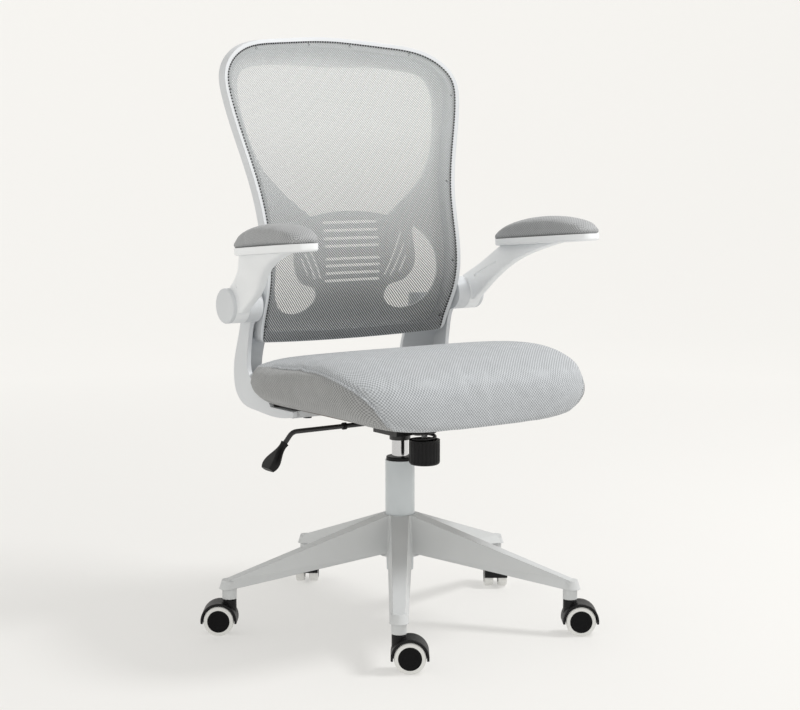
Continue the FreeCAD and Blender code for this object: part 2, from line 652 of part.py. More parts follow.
def gas_cylinder():
    """Chrome pressure tube, closed round the rod below and coned above."""
    inner = cylinder_radius - CYLINDER_WALL
    guide = ROD_DIA / 2 + RUNNING_FIT
    button = BUTTON_DIA / 2 + RUNNING_FIT
    cap = cone_top - CYLINDER_CAP
    guide_top = cylinder_bottom + CYLINDER_GUIDE
    return turned(((guide, cylinder_bottom), (cylinder_radius, cylinder_bottom),
                   (cylinder_radius, cone_mouth), (cone_radius(), cone_top), (button, cone_top),
                   (button, cap), (inner, cap), (inner, guide_top), (guide, guide_top)))


def valve_button():
    """Pin on top of the cylinder that releases the lift."""
    return rod(BUTTON_DIA, Vec(0, 0, cone_top - BUTTON_DEPTH), Vec(0, 0, cone_top + BUTTON_PROUD))


# Tilt mechanism
def lever_lugs():
    """Two lugs on the housing that hold the lever's pivot block."""
    lugs = []
    inner_x = -HOUSING_WIDTH / 2 + HOUSING_WALL / 2
    for side in (1, -1):
        near = side * (PIVOT_BLOCK / 2 + SIDE_PLAY)
        far = near + side * LUG_THICK
        span = (min(near, far), max(near, far))
        arm = box((LEVER_PIVOT_X, inner_x), span, (lever_z - LUG_ROUND, lever_z + LUG_ROUND))
        eye = rod(2 * LUG_ROUND, Vec(LEVER_PIVOT_X, near, lever_z), Vec(LEVER_PIVOT_X, far, lever_z))
        lugs.append(arm.fuse(eye))
    return lugs


def tilt_base():
    """Pressed housing on the gas lift: cone socket, channel, front tongue and lever lugs."""
    half = HOUSING_WIDTH / 2
    socket = turned(((cylinder_radius, cone_mouth), (cylinder_radius + SOCKET_WALL, cone_mouth),
                     (cylinder_radius + SOCKET_WALL, cone_top), (cone_radius(), cone_top)))
    floor = box((-half, half), (HOUSING_STEP, HOUSING_REAR), (housing_floor, housing_floor + HOUSING_WALL))
    floor = floor.cut(rod(CYLINDER_DIA + SOCKET_WALL, Vec(0, 0, 0), Vec(0, 0, cone_top)))
    step_back = HOUSING_STEP + HOUSING_WALL
    tongue_top = tongue_z + HOUSING_WALL
    riser = box((-half, half), (HOUSING_STEP, step_back), (housing_floor, tongue_top))
    tongue = box((-half, half), (HOUSING_FRONT, step_back), (tongue_z, tongue_top))
    rear = box((-half, half), (HOUSING_REAR - HOUSING_WALL, HOUSING_REAR), (housing_floor, lever_z))
    wall = box((half - HOUSING_WALL, half), (HOUSING_FRONT, HOUSING_REAR), (tongue_z, housing_top))
    lower_wall = box((half - HOUSING_WALL, half), (HOUSING_STEP, HOUSING_REAR), (housing_floor, housing_top))
    sides = [wall, lower_wall, mirrored(wall), mirrored(lower_wall)]
    body = socket.fuse([floor, riser, tongue, rear] + sides + lever_lugs())
    pin_hole = cross_rod(TILT_PIN_DIA, (-HOUSING_WIDTH, HOUSING_WIDTH), TILT_PIN_Y, pin_z)
    trunnion_hole = rod(TRUNNION_DIA + 2 * RUNNING_FIT, Vec(LEVER_PIVOT_X, -PIVOT_BLOCK, lever_z),
                        Vec(LEVER_PIVOT_X, PIVOT_BLOCK, lever_z))
    reach = LEVER_DIA / 2 + LEVER_SLOT_SPARE
    lever_slot = box((-half - SIDE_PLAY, 0), (-LEVER_SLOT_HALF_WIDTH, LEVER_SLOT_HALF_WIDTH),
                     (lever_z - reach, lever_z + reach))
    stud_half = STUD_DIA / 2 + STUD_SLOT_SPARE
    stud_slot = rounded_plate((-stud_half, stud_half),
                              (KNOB_Y - stud_half - STUD_SLOT_FORWARD, KNOB_Y + stud_half),
                              (tongue_z - OVERCUT, tongue_top + OVERCUT), STUD_DIA / 2)
    return body.cut([pin_hole, trunnion_hole, lever_slot, stud_slot]).removeSplitter()


def tilt_pin():
    """Cross pin on which the seat tilts."""
    reach = HOUSING_WIDTH / 2 + SIDE_PLAY + EAR_THICK + SIDE_PLAY
    return cross_rod(TILT_PIN_DIA, (-reach, reach), TILT_PIN_Y, pin_z)


def seat_plate():
    """Steel plate under the seat board, with two ears that hang on the tilt pin."""
    plate = rounded_plate((-SEAT_PLATE_HALF_WIDTH, SEAT_PLATE_HALF_WIDTH),
                          (SEAT_PLATE_FRONT, SEAT_PLATE_REAR), (seat_plate_z, board_z), SEAT_PLATE_CORNER)
    start = HOUSING_WIDTH / 2 + SIDE_PLAY
    ears = []
    for side in (1, -1):
        near = side * start
        far = side * (start + EAR_THICK)
        span = (min(near, far), max(near, far))
        ear = box(span, (TILT_PIN_Y - EAR_HALF_LENGTH, TILT_PIN_Y + EAR_HALF_LENGTH), (pin_z, seat_plate_z))
        eye = cross_rod(2 * EAR_HALF_LENGTH, (near, far), TILT_PIN_Y, pin_z)
        ears.append(ear.fuse(eye))
    hole = cross_rod(TILT_PIN_DIA + 2 * RUNNING_FIT, (-HOUSING_WIDTH, HOUSING_WIDTH), TILT_PIN_Y, pin_z)
    return plate.fuse(ears).cut([hole] + seat_bolt_shanks())


def seat_bolt_spots():
    """Places of the four bolts that hold the plate to the board."""
    return [Vec(x, y, 0) for x in (-SEAT_BOLT_X, SEAT_BOLT_X) for y in (SEAT_BOLT_FRONT, SEAT_BOLT_REAR)]


def seat_bolt_shanks():
    """Shanks of the seat bolts, from the heads up into the board."""
    low = Vec(0, 0, seat_plate_z)
    high = Vec(0, 0, board_z + BOLT_GRIP)
    return [rod(BOLT_DIA, spot + low, spot + high) for spot in seat_bolt_spots()]


def seat_bolts():
    """Four bolts with heads below the plate."""
    bolts = []
    for spot, shank in zip(seat_bolt_spots(), seat_bolt_shanks()):
        head = rod(BOLT_HEAD_DIA, spot + Vec(0, 0, seat_plate_z - BOLT_HEAD), spot + Vec(0, 0, seat_plate_z))
        bolts.append(head.fuse(shank))
    return Part.makeCompound(bolts)


# Tension knob
def tension_stud():
    """Threaded stud welded under the seat plate, which the knob runs on."""
    shaft = rod(STUD_DIA, Vec(0, KNOB_Y, knob_bottom + KNOB_FLOOR / 2), Vec(0, KNOB_Y, seat_plate_z))
    flange = rod(STUD_FLANGE_DIA, Vec(0, KNOB_Y, seat_plate_z - STUD_FLANGE), Vec(0, KNOB_Y, seat_plate_z))
    return shaft.fuse(flange)


def tension_knob():
    """Fluted cup that holds the spring's lower end."""
    middle = Vec(0, KNOB_Y, 0)
    cup = rod(KNOB_DIA, middle + Vec(0, 0, knob_bottom), middle + Vec(0, 0, knob_top))
    half_up = (knob_bottom + knob_top) / 2
    cup = rounded(cup, KNOB_ROUND, lambda edge: edge.isClosed() and edge.CenterOfMass.z < half_up)
    flutes = []
    for index in range(KNOB_FLUTES):
        angle = 2 * math.pi * index / KNOB_FLUTES
        spot = middle + Vec(math.cos(angle), math.sin(angle), 0) * (KNOB_DIA / 2 + KNOB_FLUTE_DIA / 4)
        flutes.append(rod(KNOB_FLUTE_DIA, spot + Vec(0, 0, knob_bottom + KNOB_ROUND),
                          spot + Vec(0, 0, knob_top - KNOB_ROUND / 2)))
    hollow = rod(KNOB_DIA - 2 * KNOB_WALL, middle + Vec(0, 0, knob_bottom + KNOB_FLOOR),
                 middle + Vec(0, 0, knob_top + OVERCUT))
    bore = rod(STUD_DIA + 2 * RUNNING_FIT, middle + Vec(0, 0, knob_bottom + KNOB_FLOOR / 2 - SIDE_PLAY),
               middle + Vec(0, 0, knob_top))
    return cup.cut(flutes + [hollow, bore])


def tension_spring():
    """Coil spring between the knob's floor and the tongue."""
    radius = KNOB_DIA / 2 - KNOB_WALL - SPRING_GAP - SPRING_WIRE / 2
    low = knob_bottom + KNOB_FLOOR + SIDE_PLAY + SPRING_WIRE / 2
    high = tongue_z - SIDE_PLAY - SPRING_WIRE / 2
    pitch = (high - low) / SPRING_TURNS
    helix = Part.makeHelix(pitch, high - low, radius)
    profile = Part.Wire([Part.makeCircle(SPRING_WIRE / 2, Vec(radius, 0, 0), Y_AXIS)])
    coil = Part.Wire(helix.Edges).makePipeShell([profile], True, True)
    return coil.translated(Vec(0, KNOB_Y, low))


# Lever
def lever_point(distance):
    """Point along the straight rod beyond the bend, counted from the bend's end."""
    turn = math.radians(LEVER_BEND_ANGLE)
    bend_end = Vec(LEVER_BEND_X - LEVER_BEND_RADIUS * math.sin(turn), 0,
                   lever_z - LEVER_BEND_RADIUS * (1 - math.cos(turn)))
    return bend_end + Vec(-math.cos(turn), 0, -math.sin(turn)) * distance


def lever_rod():
    """Bent rod: level from the lift's button to the bend, then down to the paddle."""
    level_part = cross_rod(LEVER_DIA, (LEVER_INNER_END, LEVER_BEND_X), 0, lever_z)
    section = Part.Face(Part.Wire([Part.makeCircle(LEVER_DIA / 2, Vec(LEVER_BEND_X, 0, lever_z), X_AXIS)]))
    bend = section.revolve(Vec(LEVER_BEND_X, 0, lever_z - LEVER_BEND_RADIUS), Y_AXIS, -LEVER_BEND_ANGLE)
    drop = rod(LEVER_DIA, lever_point(0), lever_point(LEVER_DROP_LENGTH))
    return level_part.fuse([bend, drop]).removeSplitter()


def lever_paddle():
    """Flared plastic grip on the rod's end."""
    sections = []
    for share, width, depth in PADDLE_SECTIONS:
        plate = rounded_plate((-depth / 2, depth / 2), (-width / 2, width / 2), (0, OVERCUT),
                              depth * PADDLE_CORNER)
        outline = min(plate.Faces, key=lambda face: face.CenterOfMass.z).OuterWire
        outline.rotate(ORIGIN, Y_AXIS, 270 - LEVER_BEND_ANGLE)
        sections.append(outline.translated(lever_point(PADDLE_START + share * PADDLE_LENGTH)))
    return Part.makeLoft(sections, True).cut(lever_rod())


def lever_collar():
    """Stop collar on the lever rod."""
    ends = (COLLAR_X - COLLAR_LENGTH / 2, COLLAR_X + COLLAR_LENGTH / 2)
    return cross_rod(COLLAR_DIA, ends, 0, lever_z).cut(lever_rod())


def lever_bush():
    """Pivot block with two trunnions, in which the lever rod slides."""
    half = PIVOT_BLOCK / 2
    block = box((LEVER_PIVOT_X - half, LEVER_PIVOT_X + half), (-half, half), (lever_z - half, lever_z + half))
    block = rounded(block, PIVOT_BLOCK_ROUND, lambda edge: runs_along(edge, X_AXIS))
    reach = half + TRUNNION_LENGTH
    trunnions = rod(TRUNNION_DIA, Vec(LEVER_PIVOT_X, -reach, lever_z), Vec(LEVER_PIVOT_X, reach, lever_z))
    ends = (LEVER_PIVOT_X - PIVOT_BLOCK, LEVER_PIVOT_X + PIVOT_BLOCK)
    bore = cross_rod(LEVER_DIA + 2 * RUNNING_FIT, ends, 0, lever_z)
    return block.fuse(trunnions).cut(bore)


# Seat
def board_blank(low, high):
    """Upright block with the seat board's outline."""
    return rounded_plate((-BOARD_HALF_WIDTH, BOARD_HALF_WIDTH), (BOARD_FRONT, BOARD_REAR), (low, high),
                         BOARD_CORNER)


def seat_board():
    """Plywood board that carries the cushion."""
    return board_blank(board_z, board_z + BOARD_THICK).cut(seat_bolt_shanks() + foot_bolt_shanks())


def seat_cushion():
    """Foam cushion over the board, cut clear of the side brackets."""
    foam = pillow(SEAT_HALF_WIDTH, SEAT_HALF_DEPTH, (SEAT_FRONT_POWER, SEAT_REAR_POWER),
                  (SEAT_LOWER_POWER, SEAT_UPPER_POWER), SEAT_TOP_LINE, SEAT_BOTTOM_LINE, SEAT_TUCK)
    foam = foam.translated(Vec(0, SEAT_MIDDLE_Y, board_z))
    pocket = board_blank(board_z - SEAT_HALF_WIDTH, board_z + BOARD_THICK)
    inner_x = BRACKET_OUTER_X - BRACKET_WALL - BRACKET_GAP
    beside = bracket_wall_face(inner_x).extrude(Vec(SEAT_HALF_WIDTH, 0, 0))
    behind = strap_face(STRAP_THICK + BRACKET_GAP, -STRAP_WIDTH / 2)
    behind = behind.extrude(Vec(-STRAP_WIDTH, STRAP_SWEEP, 0))
    foot = box((BRACKET_OUTER_X - STRAP_WIDTH, SEAT_HALF_WIDTH),
               (FOOT_PAD_FRONT - BRACKET_GAP, FOOT_PAD_REAR + BRACKET_GAP),
               (foot_bottom(), board_z + BRACKET_GAP))
    return foam.cut([pocket, beside, mirrored(beside), behind, mirrored(behind), foot, mirrored(foot)])


# Side brackets
def bracket_points(outline, x):
    """Outline points of the bracket in the plane at x."""
    return [Vec(x, y, board_z + height) for y, height in outline]


def bracket_wall_face(x):
    """J-shaped face of the bracket's outer wall."""
    rear = bracket_points(BRACKET_REAR_LINE, x)
    front = bracket_points(BRACKET_FRONT_LINE, x)
    tip = Vec(x, rear[-1].y, board_z)
    return chain_face(spline(rear), line(rear[-1], tip), line(tip, front[0]), spline(front),
                      line(front[-1], rear[0]))


def strap_face(inside, outside):
    """Band along the bracket's rear and lower edge, between two distances inwards from it."""
    edge = bracket_points(BRACKET_REAR_LINE, BRACKET_OUTER_X)
    curve = spline(edge)
    tangents = [curve.tangentAt(curve.Curve.parameter(point)) for point in edge]
    inner = [point + Vec(0, along.z, -along.y) * inside for point, along in zip(edge, tangents)]
    outer = [point + Vec(0, along.z, -along.y) * outside for point, along in zip(edge, tangents)]
    return chain_face(spline(outer), line(outer[-1], inner[-1]), spline(inner), line(inner[0], outer[0]))


def foot_bolt_spots():
    """Places of the bolts that hold one bracket's foot under the board."""
    x = BRACKET_OUTER_X - STRAP_WIDTH + FOOT_BOLT_INSET
    return [Vec(x, y, 0) for y in FOOT_BOLT_Y]


def foot_bolt_shanks():
    """Shanks of all foot bolts, from under the feet up into the board."""
    shanks = []
    for spot in foot_bolt_spots():
        low = spot + Vec(0, 0, foot_bottom())
        shank = rod(BOLT_DIA, low, spot + Vec(0, 0, board_z + BOLT_GRIP))
        shanks += [shank, mirrored(shank)]
    return shanks


def foot_bottom():
    """Level of the bolt heads' seat under the foot."""
    return board_z + min(height for _, height in BRACKET_REAR_LINE) + STRAP_THICK / 2


def back_boss(height):
    """Stand-off from the strap to the back shell at one height."""
    spot = Vec(BACK_BOSS_X, 0, board_z + height)
    block = rod(BACK_BOSS_DIA, spot, spot + Vec(0, boss_end_y(height), 0))
    return block.cut(back_slab(-BACK_BOSS_X, FRAME_DEPTH + SHELL_THICK))


def boss_end_y(height):
    """Depth at which the stand-off ends inside the strap."""
    rear = spline(bracket_points(BRACKET_REAR_LINE, 0))
    cut = line(Vec(0, 0, board_z + height), Vec(0, SEAT_HALF_WIDTH, board_z + height))
    at_wall = rear.distToShape(cut)[1][0][0].y
    share = (BRACKET_OUTER_X - BACK_BOSS_X) / STRAP_WIDTH
    return at_wall + STRAP_SWEEP * share - STRAP_THICK / 2


def back_bolt(height):
    """Bolt through the strap and stand-off, with its head behind the strap."""
    end = boss_end_y(height)
    spot = Vec(BACK_BOSS_X, 0, board_z + height)
    head = rod(BOLT_HEAD_DIA, spot + Vec(0, end, 0), spot + Vec(0, end + STRAP_THICK + BOLT_HEAD, 0))
    shell_back = back_y(BACK_BOSS_X, board_z + height) + FRAME_DEPTH + SHELL_THICK
    shank = rod(BOLT_DIA, spot + Vec(0, shell_back - SHELL_THICK / 2, 0), spot + Vec(0, end, 0))
    return head.fuse(shank)


def side_bracket():
    """Left J-bracket: outer wall, sweeping strap, foot pad, arm hub disc and stand-offs for the back."""
    wall = bracket_wall_face(BRACKET_OUTER_X - BRACKET_WALL).extrude(Vec(BRACKET_WALL, 0, 0))
    strap = strap_face(STRAP_THICK, 0).extrude(Vec(-STRAP_WIDTH, STRAP_SWEEP, 0))
    pad = box((BRACKET_OUTER_X - STRAP_WIDTH, BRACKET_OUTER_X - BRACKET_WALL / 2),
              (FOOT_PAD_FRONT, FOOT_PAD_REAR), (foot_bottom(), board_z))
    disc = hub_rod(HUB_DIA, BRACKET_OUTER_X - BRACKET_WALL, BRACKET_OUTER_X)
    bosses = [back_boss(height) for height in BACK_BOSS_HEIGHTS]
    body = wall.fuse([strap, pad, disc] + bosses)
    heads = [rod(BOLT_HEAD_DIA, spot, spot + Vec(0, 0, foot_bottom())) for spot in foot_bolt_spots()]
    bolts = [back_bolt(height) for height in BACK_BOSS_HEIGHTS]
    return body.cut(heads + foot_bolt_shanks() + bolts + [pivot_pin()])


def bracket_bolts():
    """Bolts that hold both brackets to the seat board and to the back."""
    bolts = []
    for spot in foot_bolt_spots():
        seat = foot_bottom()
        head = rod(BOLT_HEAD_DIA, spot + Vec(0, 0, seat - BOLT_HEAD), spot + Vec(0, 0, seat))
        bolts.append(head.fuse(rod(BOLT_DIA, spot + Vec(0, 0, seat), spot + Vec(0, 0, board_z + BOLT_GRIP))))
    bolts += [back_bolt(height) for height in BACK_BOSS_HEIGHTS]
    return Part.makeCompound(bolts + [mirrored(bolt) for bolt in bolts])


# Back
def back_y(x, z):
    """Depth of the mesh surface at a place on the back."""
    wrap = BACK_WRAP_DEPTH * (x / BACK_WRAP_HALF_WIDTH) ** 2
    return level(BACK_PROFILE, z - board_z) - wrap


def back_slab(front, back):
    """Curved slab between two depths behind the mesh surface."""
    low, high = BACK_PROFILE[0][0], BACK_PROFILE[-1][0]
    heights = [board_z + low + (high - low) * row / (BACK_ROWS - 1) for row in range(BACK_ROWS)]
    grid = []
    for column in range(BACK_COLUMNS):
        x = BACK_SURFACE_HALF_WIDTH * (2 * column / (BACK_COLUMNS - 1) - 1)
        grid.append([Vec(x, back_y(x, z) + front, z) for z in heights])
    surface = Part.BSplineSurface()
    surface.interpolate(grid)
    return surface.toShape().extrude(Vec(0, back - front, 0))


def back_side_points(inset, lift):
    """Points of the back's left side from its lower corner to the middle of its top, moved inwards.

    The lower corner is also lifted.
    """
    points = [Vec(x, 0, board_z + height) for x, height in BACK_OUTLINE]
    curve = arch(points)
    moved = [points[0] + Vec(-inset, 0, lift)]
    for point in points[1:]:
        tangent = curve.tangentAt(curve.Curve.parameter(point))
        moved.append(point + Vec(-tangent.z, 0, tangent.x) * inset)
    return moved


def back_prism(inset, lift):
    """Block along Y with the back's outline, inset from its edge and lifted at the bottom."""
    points = back_side_points(inset, lift)
    low = points[0]
    lower_middle = Vec(0, 0, board_z + BACK_LOWER_MIDDLE + lift)
    lower = Part.Arc(low, lower_middle, Vec(-low.x, 0, low.z)).toShape()
    block = chain_face(arch(points), lower).extrude(Vec(0, 2 * SEAT_HALF_WIDTH, 0))
    return rounded(block, max(BACK_CORNER - inset, BACK_INNER_CORNER), lambda edge: runs_along(edge, Y_AXIS))


def screw_spots():
    """Places of the screws round the frame, as points on the mesh surface."""
    points = back_side_points(SCREW_INSET, SCREW_INSET)
    curve = arch(points)
    spots = []
    for spot in SCREW_SPOTS:
        index = int(spot)
        first = curve.Curve.parameter(points[index])
        second = curve.Curve.parameter(points[index + 1])
        place = curve.valueAt(first + (second - first) * (spot - index))
        for side in (1, -1):
            spots.append(Vec(side * place.x, back_y(place.x, place.z), place.z))
    return spots


def back_screws():
    """Screws that hold the shell to the frame."""
    screws = []
    for spot in screw_spots():
        head_back = spot + Vec(0, SCREW_SINK + SCREW_HEAD, 0)
        head = rod(SCREW_HEAD_DIA, spot + Vec(0, SCREW_SINK, 0), head_back)
        shank = rod(SCREW_DIA, head_back, spot + Vec(0, FRAME_DEPTH + SHELL_THICK / 2, 0))
        screws.append(head.fuse(shank))
    return Part.makeCompound(screws)


def screw_holes():
    """Counterbored holes for the screws, open to the front."""
    holes = []
    for spot in screw_spots():
        head_back = spot + Vec(0, SCREW_SINK + SCREW_HEAD, 0)
        pocket = rod(SCREW_HEAD_DIA, spot - Vec(0, OVERCUT, 0), head_back)
        holes.append(pocket.fuse(rod(SCREW_DIA, head_back, spot + Vec(0, FRAME_DEPTH + SHELL_THICK / 2, 0))))
    return holes


def mesh_prism():
    """Block along Y inside the rim's lip, open past the lower edge."""
    return back_prism(FRAME_LIP, -BACK_CORNER)


def back_frame():
    """Moulded rim of the back, stepped for the mesh."""
    rim = back_slab(0, FRAME_DEPTH).common(back_prism(0, 0)).cut(back_prism(FRAME_WIDTH, FRAME_WIDTH))
    step = back_slab(-OVERCUT, MESH_SINK + MESH_THICK).common(mesh_prism())
    return rim.cut([step] + screw_holes())


def back_mesh():
    """Stretched mesh panel, a thin sheet let into the rim and down to its lower edge."""
    sheet = back_slab(MESH_SINK, MESH_SINK + MESH_THICK).common(mesh_prism())
    return sheet.common(back_prism(0, 0).translated(Vec(0, 0, MESH_HEM)))


def cut_through(face):
    """Opening along Y through the whole back."""
    return face.extrude(Vec(0, 2 * SEAT_HALF_WIDTH, 0))


def window_cut():
    """Large upper window that narrows down to the lumbar plate."""
    half = [Vec(x, 0, board_z + height) for x, height in WINDOW_OUTLINE]
    low = half[0]
    top_of_plate = Part.Arc(low, Vec(0, 0, board_z + LUMBAR_TOP), Vec(-low.x, 0, low.z)).toShape()
    return cut_through(chain_face(arch(half), top_of_plate))


def crescent_cut():
    """Curved cut-out beside the lumbar plate."""
    return cut_through(loop_face([Vec(x, 0, board_z + height) for x, height in CRESCENT_OUTLINE]))


def slot_cut(start, end):
    """Narrow round-ended slot between two (x, height) places."""
    low = Vec(start[0], 0, board_z + start[1])
    high = Vec(end[0], 0, board_z + end[1])
    along = high - low
    across = Vec(-along.z, 0, along.x).normalize() * (SLOT_WIDTH / 2)
    edges = [line(low + across, high + across), line(high - across, low - across)]
    tip = along.normalize() * (SLOT_WIDTH / 2)
    edges.append(Part.Arc(high + across, high + tip, high - across).toShape())
    edges.append(Part.Arc(low + across, low - tip, low - across).toShape())
    return cut_through(chain_face(*edges))


def back_shell():
    """Rear shell: border band, lumbar plate with slots, window and crescents."""
    shell = back_slab(FRAME_DEPTH, FRAME_DEPTH + SHELL_THICK).common(back_prism(SHELL_INSET, SHELL_INSET))
    crescent = crescent_cut()
    cuts = [window_cut(), crescent, mirrored(crescent)]
    cuts += [slot_cut((-SLOT_HALF_LENGTH, height), (SLOT_HALF_LENGTH, height)) for height in SLOT_HEIGHTS]
    for start, end in WING_SLOTS:
        slot = slot_cut(start, end)
        cuts += [slot, mirrored(slot)]
    for height in BACK_BOSS_HEIGHTS:
        bolt = back_bolt(height)
        cuts += [bolt, mirrored(bolt)]
    return shell.cut(cuts + back_screws().Solids)


# Arms
def hub_rod(diameter, start_x, end_x):
    """Round bar on the left arm's pivot axis."""
    return cross_rod(diameter, (start_x, end_x), ARM_PIVOT_Y, arm_pivot_z)


def pivot_pin():
    """Pin of the left arm, from the bracket wall into the arm's hub."""
    return hub_rod(PIVOT_PIN_DIA, BRACKET_OUTER_X - BRACKET_WALL, arm_hub_end - PIVOT_PIN_SHORT)


def arm_pivot():
    """Fixed hub on the bracket with the pin that the arm turns on."""
    return hub_rod(HUB_DIA, BRACKET_OUTER_X, fixed_hub_end).fuse(pivot_pin())


def arm_blade():
    """Curved blade from the left arm's hub up to the tray, lofted through level cuts."""
    cuts = []
    for height, front, rear, middle_x, thickness in ARM_SECTIONS:
        cut = oval_face(thickness / 2, (rear - front) / 2, ARM_SECTION_POWER).OuterWire
        cuts.append(cut.translated(Vec(middle_x, ARM_PIVOT_Y + (front + rear) / 2, arm_pivot_z + height)))
    return Part.makeLoft(cuts, True)


def arm_groove(ends, side):
    """Shallow groove along one side face of the left arm: outer (1) or inner (-1)."""
    middles = [(height, middle_x) for height, _, _, middle_x, _ in ARM_SECTIONS]
    halves = [(height, thickness / 2) for height, _, _, _, thickness in ARM_SECTIONS]
    points = []
    for y, height in ends:
        face_x = level(middles, height) + side * level(halves, height)
        x = face_x + side * (ARM_GROOVE_DIA / 2 - ARM_GROOVE_DEPTH)
        points.append(Vec(x, ARM_PIVOT_Y + y, arm_pivot_z + height))
    return rod(ARM_GROOVE_DIA, points[0], points[1])


def arm_body():
    """Left arm: hub and blade, cut to the tray's underside."""
    hub = hub_rod(HUB_DIA, arm_hub_start, arm_hub_end)
    bore = hub_rod(PIVOT_PIN_DIA + 2 * RUNNING_FIT, arm_hub_start - OVERCUT, arm_hub_end + OVERCUT)
    grooves = [arm_groove(OUTER_GROOVE, 1), arm_groove(INNER_GROOVE, -1)]
    above = placed_on_arm(box((-TRAY_LENGTH, TRAY_LENGTH), (-TRAY_LENGTH, TRAY_LENGTH), (0, HUB_DIA)))
    return arm_blade().cut(grooves).fuse(hub).cut([bore, above]).removeSplitter()


def arm_cap():
    """Round cap over the outer end of the arm's hub."""
    cap = hub_rod(HUB_DIA, arm_hub_end, arm_hub_end + CAP_THICK)
    outside = arm_hub_end + CAP_THICK / 2
    return rounded(cap, CAP_ROUND, lambda edge: edge.isClosed() and edge.CenterOfMass.x > outside)


def placed_on_arm(shape):
    """Piece drawn round the origin, set on top of the left arm with its toe-out and pitch."""
    turned_shape = shape.rotated(ORIGIN, Z_AXIS, TRAY_TOE_OUT).rotated(ORIGIN, X_AXIS, -TRAY_PITCH)
    return turned_shape.translated(Vec(TRAY_MIDDLE_X, TRAY_MIDDLE_Y, tray_z))


def arm_tray():
    """Moulded tray under the arm pad."""
    tray = oval_face(TRAY_WIDTH / 2, TRAY_LENGTH / 2, PAD_PLAN_POWER).extrude(Vec(0, 0, TRAY_THICK))
    return placed_on_arm(rounded(tray, TRAY_ROUND, lambda edge: edge.BoundBox.ZMax < RUNNING_FIT))


def arm_pad():
    """Crowned pad on the tray."""
    pad = pillow(TRAY_WIDTH / 2 + PAD_OVERHANG, TRAY_LENGTH / 2 + PAD_OVERHANG,
                 (PAD_PLAN_POWER, PAD_PLAN_POWER), (PAD_SECTION_POWER, PAD_SECTION_POWER),
                 PAD_TOP_LINE, PAD_BOTTOM_LINE, 0)
    below = box((-TRAY_WIDTH, TRAY_WIDTH), (-TRAY_LENGTH, TRAY_LENGTH), (-TRAY_WIDTH, 0))
    return placed_on_arm(pad.cut(below).translated(Vec(0, 0, TRAY_THICK)))


# Nodes
def chair_nodes():
    """All pieces of the chair by name."""
    nodes = {
        "star_base": star_base(),
        "lift_column": lift_column(),
        "column_bush": column_bush(),
        "thrust_bearing": thrust_bearing(),
        "piston_rod": piston_rod(),
        "column_clip": column_clip(),
        "gas_cylinder": gas_cylinder(),
        "valve_button": valve_button(),
        "tilt_base": tilt_base(),
        "tilt_pin": tilt_pin(),
        "lever_bush": lever_bush(),
        "lever_rod": lever_rod(),
        "lever_paddle": lever_paddle(),
        "lever_collar": lever_collar(),
        "seat_plate": seat_plate(),
        "seat_bolts": seat_bolts(),
        "tension_stud": tension_stud(),
        "tension_spring": tension_spring(),
        "tension_knob": tension_knob(),
        "seat_board": seat_board(),
        "seat_cushion": seat_cushion(),
        "bracket_bolts": bracket_bolts(),
        "back_frame": back_frame(),
        "back_shell": back_shell(),
        "back_mesh": back_mesh(),
        "back_screws": back_screws(),
    }
    handed = {
        "side_bracket": side_bracket(),
        "arm_pivot": arm_pivot(),
        "arm_body": arm_body(),
        "arm_cap": arm_cap(),
        "arm_tray": arm_tray(),
        "arm_pad": arm_pad(),
    }
    for name, shape in handed.items():
        nodes[name + "_left"] = shape
        nodes[name + "_right"] = mirrored(shape)
    for index in range(SPOKE_COUNT):
        number = str(index + 1)
        nodes["caster_hood_" + number] = placed_caster(caster_hood(), index)
        nodes["caster_pins_" + number] = placed_caster(caster_pins(), index)
        nodes["wheel_" + number + "_left"] = placed_caster(caster_wheel(1), index)
        nodes["wheel_" + number + "_right"] = placed_caster(caster_wheel(-1), index)
    return nodes


os.makedirs("parts", exist_ok=True)
for node_name, node_shape in chair_nodes().items():
    node_shape.exportStep("parts/" + node_name + ".step")
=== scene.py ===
import json
import math

import bmesh
import bpy
from mathutils import Matrix, Vector
from mathutils.bvhtree import BVHTree
from mathutils.kdtree import KDTree


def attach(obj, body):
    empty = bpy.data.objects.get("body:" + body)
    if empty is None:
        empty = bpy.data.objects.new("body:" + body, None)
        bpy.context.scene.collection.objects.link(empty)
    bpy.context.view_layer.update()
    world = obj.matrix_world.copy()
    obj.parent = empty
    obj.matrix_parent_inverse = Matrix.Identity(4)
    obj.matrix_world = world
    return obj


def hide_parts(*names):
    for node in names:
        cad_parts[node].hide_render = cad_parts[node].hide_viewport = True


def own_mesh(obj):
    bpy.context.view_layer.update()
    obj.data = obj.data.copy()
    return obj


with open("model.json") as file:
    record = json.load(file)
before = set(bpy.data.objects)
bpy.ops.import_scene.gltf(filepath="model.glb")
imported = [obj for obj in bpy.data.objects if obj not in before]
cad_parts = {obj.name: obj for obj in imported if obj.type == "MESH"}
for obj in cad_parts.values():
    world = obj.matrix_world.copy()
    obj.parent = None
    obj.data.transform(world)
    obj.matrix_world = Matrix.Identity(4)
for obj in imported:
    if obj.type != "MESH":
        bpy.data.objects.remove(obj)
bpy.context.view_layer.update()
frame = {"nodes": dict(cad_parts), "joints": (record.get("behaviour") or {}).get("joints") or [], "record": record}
nodes = frame["nodes"]
scene = bpy.context.scene

# Camera of the photograph: metres, degrees and millimetres of lens
CAMERA_AZIMUTH = -35.69
CAMERA_REACH = 2.7924
CAMERA_HEIGHT = 0.7885
CAMERA_PITCH = 6.774
CAMERA_LENS = 74.78
CAMERA_SENSOR = 36.0
LEVEL_ANGLE = 90.0

